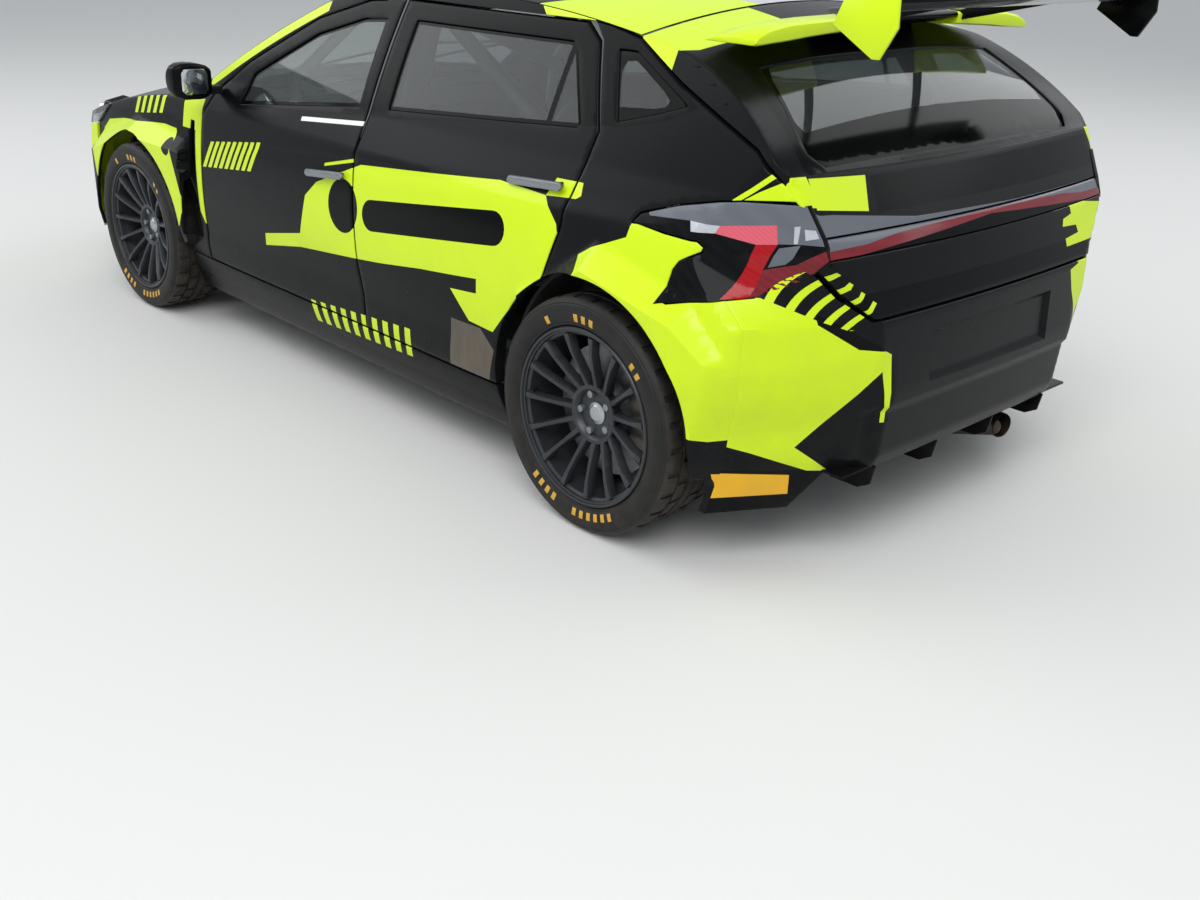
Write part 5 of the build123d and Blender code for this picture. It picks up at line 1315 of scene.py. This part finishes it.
# Rear wing: yellow ends and black middle of the roof spoiler, carbon plane, end plates, struts
SPOILER = [(-1487, 1272), (-1487, 1299), (-1526, 1311), (-1600, 1321), (-1646, 1318), (-1650, 1311), (-1649, 1304),
           (-1590, 1289)]
PLANE = [(-1840, 1356), (-1844, 1364), (-1870, 1368), (-1930, 1372), (-1980, 1382), (-2012, 1391), (-2016, 1386),
         (-1975, 1368), (-1930, 1358), (-1880, 1352), (-1850, 1352)]
END_PLATE = [(-1862, 1331), (-1890, 1392), (-2028, 1396), (-2031, 1336), (-1992, 1268), (-1973, 1268)]
SPOILER_ENDS = [  # y, top, underside
    (238, 1320, 1284), (400, 1317, 1275), (490, 1313, 1268), (560, 1303, 1264), (596, 1290, 1262), (608, 1280, 1264),
]
STRUT = [(-1562, 1296), (-1562, 1317), (-1640, 1322), (-1850, 1366), (-1898, 1366), (-1898, 1354), (-1650, 1296)]
wing = [side_plate("spoiler_middle", SPOILER, -238, 238, black_film, 5.0),
        side_plate("wing_plane", PLANE, -600, 600, carbon, 0.8),
        side_plate("gurney", [(-2010, 1384), (-2016, 1384), (-2016, 1395), (-2013, 1395)], -598, 598, black_film, 0.5)]
for y in (-260, 250):
    wing.append(side_plate("strut", STRUT, y - 5, y + 5, black_film, 1.5))
for side in (1, -1):
    rings = []
    for y, high, low in SPOILER_ENDS:
        front = max(top_z(-1486, y), 1263)
        line = [(-1486, front), (-1525, front + (high - front) * 0.7), (-1590, high), (-1642, high - 3),
                (-1650, high - 9), (-1649, low + 4), (-1640, low), (-1500, max(low, front - 8))]
        rings.append([(x, side * y, z) for x, z in line])
    wing.append(rounded(lofted("spoiler_end", rings, yellow), 2.0))
    wing.append(plate("end_plate", [(x, side * 600, z) for x, z in END_PLATE], (0, side * 8, 0),
                      yellow if side > 0 else black_film, 1.5))
    wing.append(plate("end_rim", [(x, side * 596, z) for x, z in END_PLATE], (0, side * 4, 0), black_film, 1.0))
set_on("tailgate_lid", joined("rear_wing_parts", *wing), "rear_wing")


# Wheels: one rim and one tyre are made at the left front and copied to the other corners
HUB = (1187, 782, 322)
RIM_PROFILE = [
    (243, 108), (243, 104), (240, 101), (230, 99), (228, 92), (228, 72), (220, 51), (220, -71), (228, -81),
    (228, -98), (240, -101), (243, -104), (243, -109), (241, -111), (226, -111), (224, -104), (222, -91), (212, -61),
    (212, 41), (218, 66), (220, 80), (221, 92), (225, 95), (228, 96.5), (229, 103), (233, 104.5), (234.5, 110),
    (236.5, 111), (241, 110.6),
]
HUB_PROFILE = [(31.3, 30), (73, 30), (80, 58), (82, 62), (80, 66), (70, 67), (66, 64), (60, 50), (31.3, 48)]
SPOKE = [  # radius, y, half width
    (64, 58, 8.5), (84, 68, 7.0), (130, 83.5, 5.4), (180, 98.5, 5.4), (224, 105, 8.5),
    (226, 80, 11.0), (180, 73, 8.5), (130, 57, 9.0), (84, 40, 10.5), (64, 34, 12.0),
]
hub_x, hub_y, hub_z = HUB
rim = turned("rim_barrel", RIM_PROFILE, HUB, anthracite, 90, 34)
hub = turned("rim_hub", HUB_PROFILE, HUB, anthracite, 60)
count = len(SPOKE)
spoke = lay("spoke", [(hub_x + r, hub_y + y, hub_z + side * w) for side in (1, -1) for r, y, w in SPOKE],
            faces=[list(range(count)), list(range(2 * count - 1, count - 1, -1))]
            + [(i, i + count, (i + 1) % count + count, (i + 1) % count) for i in range(count)], finish=anthracite)
spokes = ring_of(rounded(in_edit(spoke, FACE_OUT), 1.4), HUB, 15)
nut = rod("wheel_nut", (hub_x + 54, hub_y + 47.5, hub_z), (hub_x + 54, hub_y + 62, hub_z), 11, handle_metal, 1.5, 6)
nuts = ring_of(nut, HUB, 5)
cap = turned("hub_cap", [(0.5, 47.3), (30, 47.3), (30, 50), (24, 52), (20, 55), (0.5, 56)], HUB, alloy, 40)
valve = rod("valve", (hub_x + 214, hub_y + 74, hub_z + 12), (hub_x + 206, hub_y + 98, hub_z + 12), 3.2, plastic)
wheel_rim = joined("wheel_rim", rim, hub, spokes, nuts, cap, valve)

TYRE_PROFILE = [
    (229, 99), (243.3, 101.5), (246, 107), (249, 109.5), (253, 109.3), (255, 111), (259, 113.6), (270, 116),
    (280, 117), (291, 116.4), (301, 114), (303.5, 111.6), (307, 112), (313, 107), (318.5, 99), (321, 90), (322, 80),
    (322, 62), (316, 60.5), (316, 54.5), (322, 53), (322, 24), (315, 22), (315, 11), (322, 9),
]
TYRE_PROFILE += [(r, -y) for r, y in reversed(TYRE_PROFILE)]
tyre = turned("tyre", TYRE_PROFILE, HUB, rubber, 120, 28)
tyre.data.materials.append(tread_rubber)
tyre.data.materials.append(gold_paint)
TREAD_GROOVE = 4.5
STEP_TURN = 3  # degrees of one step of the spun profile
MARKS = ((79, 100), (40, 52), (118, 124), (232, 256), (268, 304))  # degrees where the wall is painted
for part in (tyre.data.vertices, tyre.data.edges):
    part.foreach_set("select", [False] * len(part))
for face in tyre.data.polygons:
    x, y, z = face.center / MM - Vector(HUB)
    radius = sqrt(x * x + z * z)
    turn = np.degrees(np.arctan2(z, -x)) % 360
    step = int(turn // STEP_TURN)
    if radius > 312:
        face.material_index = 1
    if 262 < radius < 276 and y > 0 and step % 2 and any(low < turn < high for low, high in MARKS):
        face.material_index = 2
    shoulder_block = abs(y) > 62 and step % 4 == 0
    middle_block = 26 < abs(y) < 53 and (step + 2) % 4 == 0
    face.select = radius > 317 and (shoulder_block or middle_block)
select_only(tyre)
bpy.ops.object.mode_set(mode="EDIT")
bpy.ops.mesh.select_mode(type="FACE")
bpy.ops.mesh.extrude_region_shrink_fatten(TRANSFORM_OT_shrink_fatten={"value": -TREAD_GROOVE * MM})
bpy.ops.object.mode_set(mode="OBJECT")
shade(tyre, 28)

# Brake caliper cover: a curved alloy block with its pad pins
def on_hub(radius, angle):
    """Point over x, z at an angle round the hub."""
    return hub_x + radius * cos(radians(angle)), hub_z + radius * sin(radians(angle))


arc = [on_hub(194, a) for a in range(146, 211, 8)] + [on_hub(126, a) for a in range(210, 145, -8)]
caliper = side_plate("caliper", arc, hub_y + 29, hub_y + 38, caliper_metal, 3.0)
pins = [rod("pad_pin", (x, hub_y + 36, z), (x, hub_y + 41, z), 7, iron, 1.0, 6)
        for x, z in (on_hub(168, a) for a in (154, 178, 202))]
caliper = joined("caliper_cover", caliper, *pins)

to_rear = Matrix.Translation(Vector((REAR_AXLE[0] - FRONT_AXLE[0], 0, 0)) * MM)
for end, move, brake_bodies in (("front", None, ("steer_left", "steer_right")), ("rear", to_rear, ("car", "car"))):
    bodies = (f"wheel_{end}_left", f"wheel_{end}_right")
    both(copied(wheel_rim, "rim", move), end + "_wheel_rim", [f"rim_{end}_SIDE"], *bodies)
    both(copied(tyre, "tyre", move), end + "_wheel_tyre", [f"tyre_{end}_SIDE"], *bodies)
    both(copied(caliper, "caliper", move), end + "_brake_caliper", None, *brake_bodies)
bpy.data.batch_remove([wheel_rim, tyre, caliper])

# Cowl panel between bonnet and windscreen, wipers, and the lid of the scoop
cowl = whole([(931, 0), (931, 643), (922, 643), (922, 700), (673, 700), (673, 626), (858, 656), (891, 401), (903, 0)])
set_on("car", panel("cowl_panel", cowl, over_top, DOWN, [plastic, plastic], step=16, depth=1.0, edge=0.6))
for number, (pivot_y, tip_y, tip_x) in enumerate(((300, -250, 720), (-250, -600, 640))):
    pivot = moved(on_top, z=8)(905, pivot_y)
    tip = moved(on_top, z=9)(tip_x, tip_y)
    middle = moved(on_top, z=16)(*((pivot + tip) / 2).xy)
    arm = tube("wiper_arm", [pivot, middle, tip], 5, plastic, True)
    base = rod("wiper_base", pivot - Vector((0, 0, 16)), pivot + Vector((0, 0, 8)), 13, plastic, 3.0)
    line = [(tip_x + 55 - 110 * i / 8, tip_y + 250 - 490 * i / 8) for i in range(9)]
    blade = tube("wiper_blade", [(x, max(min(y, 600), -600), top_z(x, y) + 1) for x, y in line], 4.5, seal)
    set_on("car", joined("wiper_" + str(number + 1), arm, base, blade))
SCOOP = [(60, 1306), (41, 1393), (-180, 1399), (-201, 1306)]
scoop = [side_plate("scoop_side", SCOOP, side * 150, side * 152.5, silver_film_and_sky_sheen, 0.8) for side in (1, -1)]
scoop.append(plate("scoop_roof", [(41, -152, 1392.3), (-180, -152, 1398.5), (-180, 152, 1398.5), (41, 152, 1392.3)],
                   (0, 0, 1.5), silver_film_and_sky_sheen, 0.6))
scoop.append(plate("scoop_back", [(-180, -152, 1398), (-201, -152, 1300), (-201, 152, 1300), (-180, 152, 1398)],
                   (-1.5, 0, 0), silver_film_and_sky_sheen, 0.6))
scoop.append(plate("scoop_lip", [(66, y, z) for y, z in ((-152, 1386), (-152, 1395), (152, 1395), (152, 1386))],
                   (-24, 0, 0), black_film, 2.0))
set_on("car", joined("roof_scoop_skin", *scoop))

# Front: lamp housings with their projectors, bonnet vents and pins, tow loop
LAMP_SET = 36 / sqrt(2)  # how far a housing lies back and inward from the form
in_lamp = moved(on_side, -LAMP_SET, -LAMP_SET)
over_bonnet = moved(on_top, z=1.6)
HEADLAMP = [(1512, 746), (1632, 668), (1955, 608), (1950, 696), (1838, 732)]
housing = panel("headlamp_housing", HEADLAMP, in_lamp, LEFT, [gloss_black, reflector, gloss_black],
                [(1, [(1700, 690), (1930, 645), (1930, 628), (1700, 668)])], step=18, depth=5, edge=1.0)
projectors = []
for x, z in ((1730, 700), (1810, 690), (1880, 672)):
    spot = in_lamp(x, z)
    aim = Vector((0.75, 0.66, 0.0)) * 22
    projectors.append(rod("projector", spot - aim * 0.2, spot + aim, 24, reflector, 3.0, 28))
    projectors.append(rod("projector_lens", spot + aim * 0.4, spot + aim * 1.2, 18, clear_lens, 5.0, 28))
both(joined("headlamp_inside", housing, *projectors), "headlamp_inside")
for side in (1, -1):
    vent = [(1560, side * 120), (1590, side * 300), (1380, side * 330), (1330, side * 120)]
    inner_vent = ring_in(vent, 14)
    name = "bonnet_vent_" + ("left" if side > 0 else "right")
    vent_skin = panel(name, vent, over_bonnet, DOWN, [black_film, grille_mesh, black_film],
                      [(1, inner_vent)], step=20, depth=1.4, edge=0.8)
    slats = []
    for share in (0.25, 0.5, 0.75):
        a, b = [on_top(*Vector(inner_vent[first]).lerp(Vector(inner_vent[last]), share))
                for first, last in ((0, 3), (1, 2))]
        low, high = Vector((-12, 0, 0)), Vector((12, 0, 9))
        slats.append(plate("slat", [a + low, a + high, b + high, b + low], (0, 0, 2), black_film, 0.8))
    set_on("bonnet_lid", joined(name, vent_skin, *slats))
pins = []
for x, y in ((1860, 430), (1860, -430), (1010, 590), (1010, -590)):
    z = top_z(x, y)
    pins.append(rod("pin_plate", (x, y, z - 4), (x, y, z + 3), 24, handle_metal, 1.5, 28))
    pins.append(rod("pin", (x, y, z), (x, y, z + 14), 5, alloy, 1.5))
    clip = [(-16, 0, 9), (14, 0, 9), (20, 6, 8), (12, 12, 7), (-14, 10, 7)]
    pins.append(tube("pin_clip", [(x + dx, y + dy, z + dz) for dx, dy, dz in clip], 1.8, alloy, True))
set_on("bonnet_lid", joined("bonnet_pins", *pins))
loop = [(x, -330, z) for x, z in ((1905, 470), (2012, 474), (2030, 455), (2012, 438), (1905, 440))]
set_on("car", tube("tow_loop", loop, 7, red_button, True))

# Cabin: moulded seat shells, padded cushions, harness, instrument pod, gearlever, cage gussets
SEAT_LINE = [  # x, z, half width, side height, lean of the side
    (332, 322, 178, 96, 0.1), (230, 304, 186, 112, 0.1), (120, 296, 188, 120, 0.1), (30, 306, 186, 130, 0.1),
    (-30, 350, 184, 120, 0.1), (-62, 430, 180, 78, 0.15), (-92, 540, 182, 74, 0.2), (-118, 640, 196, 118, 0.2),
    (-136, 720, 192, 112, 0.2), (-154, 790, 170, 118, 0.15), (-172, 860, 140, 104, 0.1), (-178, 882, 118, 60, 0.1),
]


def seat_grid(middle_y, inset, lift_off):
    """Rows across the seat: floor of the shell and its raised sides, drawn in and lifted off."""
    rows = []
    for number, (x, z, half, high, lean) in enumerate(SEAT_LINE):
        before, after = SEAT_LINE[max(number - 1, 0)], SEAT_LINE[min(number + 1, len(SEAT_LINE) - 1)]
        along = Vector((after[0] - before[0], 0, after[1] - before[1])).normalized()
        up = Vector((along.z, 0, -along.x))
        up = -up if up.x + up.z < 0 else up
        half, high = half - inset, max(high - inset, 10)
        left = [(half + high * lean, high), (half + high * lean * 0.6, high * 0.6), (half, 20), (half - 22, 3),
                (half * 0.45, 0)]
        row = [(-off, rise) for off, rise in left] + [(0, 0)] + left[::-1]
        rows.append([Vector((x, middle_y + off, z)) + up * (rise + lift_off) for off, rise in row])
    return rows


SEAT_Y = 362
rows = seat_grid(SEAT_Y, 8, 0)
seat_shell = lay("seat_shell", [p for row in rows for p in row], faces=grid_faces(len(rows), len(rows[0])),
                 finish=carbon)
applied(seat_shell, "SOLIDIFY", thickness=9 * MM, offset=0.0)
applied(seat_shell, "SUBSURF", levels=2, render_levels=2)
shade(in_edit(seat_shell, FACE_OUT), 50)
frames = [block("seat_foot", (-20, SEAT_Y + side * 168 - 5, 187), (270, SEAT_Y + side * 168 + 5, 292), tube_steel, 3.0)
          for side in (1, -1)]
frames += [rod("seat_bar", (x, SEAT_Y - 170, 240), (x, SEAT_Y + 170, 240), 12, tube_steel) for x in (0, 250)]
both(joined("bucket_seat", seat_shell, *frames), "bucket_seat", ["seats"])


SWELL_MOST = 9


def pad(name, first, last, inset, thick):
    """Cushion between two stations of the seat: swollen, its sides drawn in, edges on the shell."""
    rows = seat_grid(SEAT_Y, inset, 9)[first:last + 1]
    low = [p for row in rows for p in row[2:9]]
    high = [p for row in seat_grid(SEAT_Y, inset + 8, 9 + thick)[first:last + 1] for p in row[2:9]]
    wide, deep, size = 7, len(rows), len(low)
    faces = []
    for a in range(deep - 1):
        for i in range(wide - 1):
            quad = [a * wide + i, a * wide + i + 1, (a + 1) * wide + i + 1, (a + 1) * wide + i]
            faces += [quad, [size + k for k in reversed(quad)]]
        faces += [[a * wide, (a + 1) * wide, size + (a + 1) * wide, size + a * wide],
                  [a * wide + wide - 1, size + a * wide + wide - 1, size + (a + 1) * wide + wide - 1,
                   (a + 1) * wide + wide - 1]]
    for i in range(wide - 1):
        faces += [[i, size + i, size + i + 1, i + 1],
                  [size - wide + i, size - wide + i + 1, 2 * size - wide + i + 1, 2 * size - wide + i]]
    piece = in_edit(lay(name, low + high, faces=faces, finish=cloth), FACE_OUT)
    applied(piece, "REMESH", mode="VOXEL", voxel_size=7 * MM)
    rest = [v.co.copy() for v in piece.data.vertices]
    swell = piece.modifiers.new("swell", "CLOTH")
    swell.settings.use_pressure = True
    swell.settings.uniform_pressure_force = 4
    swell.settings.effector_weights.gravity = 0
    for moment in range(1, 15):
        bpy.context.scene.frame_set(moment)
    select_only(piece)
    bpy.ops.object.modifier_apply(modifier="swell")
    bpy.context.scene.frame_set(1)
    for vert, start_at in zip(piece.data.vertices, rest):
        way = vert.co - start_at
        if way.length > SWELL_MOST * MM:
            vert.co = start_at + way.normalized() * SWELL_MOST * MM
    return shade(applied(piece, "SMOOTH", iterations=4), 60)


for name, *place in (("seat_cushion", 0, 3, 26, 26), ("back_cushion", 5, 8, 26, 20), ("head_cushion", 9, 10, 22, 20)):
    for cushion in both(pad(name, *place), name):
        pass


def belt(name, points, half):
    """Flat strap 3.5 mm thick, laid through points with its width across the car."""
    edges = [Vector((0, half, 0)), Vector((0, -half, 0))]
    piece = lay(name, [Vector(p) + w for w in edges for p in points], faces=grid_faces(2, len(points)), finish=strap)
    applied(piece, "SUBSURF", levels=2, render_levels=2)
    return shade(applied(piece, "SOLIDIFY", thickness=3.5 * MM, offset=1.0), 50)


SHOULDER_LINE = [(-290, 700), (-215, 712), (-150, 726), (-108, 704), (-86, 640), (-60, 540), (-20, 430), (30, 352)]
belts = []
for side in (1, -1):
    belts.append(belt("shoulder_belt", [(x, SEAT_Y + side * 70, z) for x, z in SHOULDER_LINE], 26))
    belts.append(belt("lap_belt", [(x, SEAT_Y + side * off, z) for x, off, z in (
        (-10, 165, 330), (60, 120, 352), (90, 30, 356))], 24))
belts.append(rod("buckle", (88, SEAT_Y, 346), (78, SEAT_Y, 368), 30, handle_metal, 4.0, 28))
both(joined("harness", *belts), "harness")
console = [block("centre_console", (140, -70, 312), (420, 70, 420), inner_trim, 12.0),
           block("switch_panel", (150, -60, 420), (330, 60, 426), carbon, 2.0),
           tube("gear_lever", [(330, 40, 420), (320, 44, 520), (285, 52, 660)], 9, alloy, True),
           tube("brake_lever", [(300, -10, 420), (290, -6, 520), (262, 4, 640)], 8, alloy, True),
           rod("gear_knob", (287, 52, 655), (278, 53, 690), 20, suede, 7.0, 24),
           rod("brake_grip", (270, 2, 600), (258, 5, 672), 13, suede, 4.0, 20)]
for number, x in enumerate((175, 205, 235, 265, 295)):
    console.append(rod("switch", (x, -30, 424), (x, -30, 438), 8, red_button if number == 0 else plastic, 2.0))
    console.append(rod("switch", (x, 20, 424), (x, 20, 436), 7, handle_metal, 2.0))
set_on("car", joined("centre_console", *console))
dash = [block("instrument_pod", (430, 230, 800), (560, 490, 868), inner_trim, 16.0),
        block("display", (424, 270, 806), (432, 450, 860), gloss_black, 2.0),
        block("dash_shelf", (452, -480, 806), (600, 150, 826), inner_trim, 8.0)]
for y in (-420, -120, 120):
    dash.append(rod("air_vent", (420, y, 755), (445, y, 762), 34, plastic, 4.0, 28))
    dash.append(rod("vent_ring", (417, y, 754), (424, y, 756), 24, handle_metal, 2.0, 28))
set_on("car", joined("dash_details", *dash))
column = Vector((300, SEAT_Y, 745))
axis = Vector((cos(radians(24)), 0, -sin(radians(24))))
boss = [rod("wheel_boss", column - axis * 18, column - axis * 8, 42, suede, 4.0, 32)]
for turn, finish in ((50, red_button), (130, handle_metal), (230, handle_metal), (310, red_button)):
    spot = column + Vector((-axis.z * cos(radians(turn)), sin(radians(turn)), axis.x * cos(radians(turn)))) * 62
    boss.append(rod("wheel_switch", spot - axis * 16, spot - axis * 5, 9, finish, 2.0))
set_on("car", joined("steering_boss", *boss))
gussets = []
for side in (1, -1):
    for x, y, z, *legs in ((405, 598, 948, (-150, -7), (-31, -45)), (92, 524, 1206, (75, -52.5), (-75, 6)),
                           (-300, 528, 1240, (60, -4), (0, -75))):
        corners = [(x + dx, side * y, z + dz) for dx, dz in [(0, 0)] + legs]
        gussets.append(plate("gusset", corners, (0, -side * 4, 0), tube_steel, 1.0))
set_on("car", joined("cage_gussets", *gussets))

# Underside: coil springs round the struts, tail pipe, diffuser fins
def spring(foot, head, radius, turns, wire):
    """Coil of wire round a line, with 12 points a turn."""
    foot, head = Vector(foot), Vector(head)
    axis = (head - foot).normalized()
    right = axis.cross(Vector((1, 0, 0))).normalized()
    front = axis.cross(right)
    points = []
    for i in range(turns * 12 + 1):
        a = 2 * pi * i / 12
        points.append(foot + (head - foot) * i / (turns * 12) + (right * cos(a) + front * sin(a)) * radius)
    return tube("spring", points, wire, spring_steel, True, 2)


both(spring((1187, 594, 500), (1187, 578, 672), 44, 5, 6.5), "front_coil_spring")
both(spring((-1393, 584.5, 262), (-1393, 581, 366), 42, 4, 7), "rear_coil_spring")
pipe = turned("tail_pipe", [(30, -60), (36, -60), (37, -4), (35.5, 0), (34, -4), (33, -52)], (0, 0, 0), pipe_steel, 40)
pipe.data.transform(Matrix.Translation(Vector((-1972, -252, 196)) * MM) @ Matrix.Rotation(radians(78), 4, "Z"))
set_on("car", pipe)
fins = [side_plate("diffuser_fin", [(-1862, 190), (-1950, 190), (-1986, 210), (-1996, 262), (-1862, 276)],
                   y - 4, y + 4, black_film, 1.5) for y in (-420, -140, 140, 420)]
fins.append(block("diffuser_roof", (-1990, -556, 262), (-1860, 556, 270), black_film, 3.0))
fins.append(block("jacking_bar", (-1995, -90, 286), (-1940, 90, 306), plastic, 4.0))
set_on("car", joined("rear_diffuser", *fins))

# Finishes of the CAD pieces that stay in sight
KEPT = {
    cabin_shade_enamel: ["body_shell"], tube_steel: ["roll_cage"], inner_trim: ["dashboard"], suede: ["steering_wheel"],
    iron: ["suspension_front", "suspension_rear", "upper_arms", "knuckle_left", "knuckle_right", "drive_shafts",
           "propshaft"],
    disc_steel: ["disc_front_left", "disc_front_right", "disc_rear_left", "disc_rear_right"],
    alloy: ["engine_block"], guard_alloy: ["sump_guard"], pipe_steel: ["exhaust"], grille_mesh: ["grille"],
    clear_lens: ["headlamps"], graphite: ["bonnet"], front_film: ["front_bumper"],
}
for finish, names in KEPT.items():
    for name in names:
        node = frame["nodes"][name]
        node.data.materials.clear()
        node.data.materials.append(finish)

# Stage, light and camera
bpy.ops.mesh.primitive_plane_add(size=60, location=(0, 0, -0.0005))
floor = bpy.context.view_layer.objects.active
floor.name = "floor"
floor.data.materials.append(start("pale_floor", Roughness=0.9, Base_Color=colour("#d2d2d0"))[0])

world = bpy.data.worlds.new("studio")
bpy.context.scene.world = world
world.use_nodes = True
sky = world.node_tree.nodes["Background"]
sky.inputs["Color"].default_value = colour("#e9edf2")
sky.inputs["Strength"].default_value = 0.75
for name, spot, size, power in (("key", (-4.5, 5.5, 7.0), 6.0, 520), ("fill", (5.5, 4.0, 6.0), 7.0, 260),
                                ("rear", (-3.0, -6.0, 6.5), 7.0, 240)):
    light = bpy.data.lights.new(name, "AREA")
    light.size = size
    light.energy = power
    lamp = linked(name, light)
    lamp.location = spot
    lamp.rotation_euler = (Vector((0, 0, 0.6)) - Vector(spot)).to_track_quat("-Z", "Y").to_euler()

FOCAL_PIXELS, PHOTO_WIDE = 1273.3, 1200  # fitted to the photograph
lens = bpy.data.cameras.new("camera")
lens.sensor_width = 36
lens.lens = lens.sensor_width * FOCAL_PIXELS / PHOTO_WIDE
lens.clip_end = 200
camera = linked("camera", lens)
camera.location = (-3.64476, 2.98988, 1.5607)
camera.rotation_euler = (radians(66.683), radians(-1.9298), radians(-133.1785))
bpy.context.scene.camera = camera
bpy.context.scene.view_settings.view_transform = "Standard"
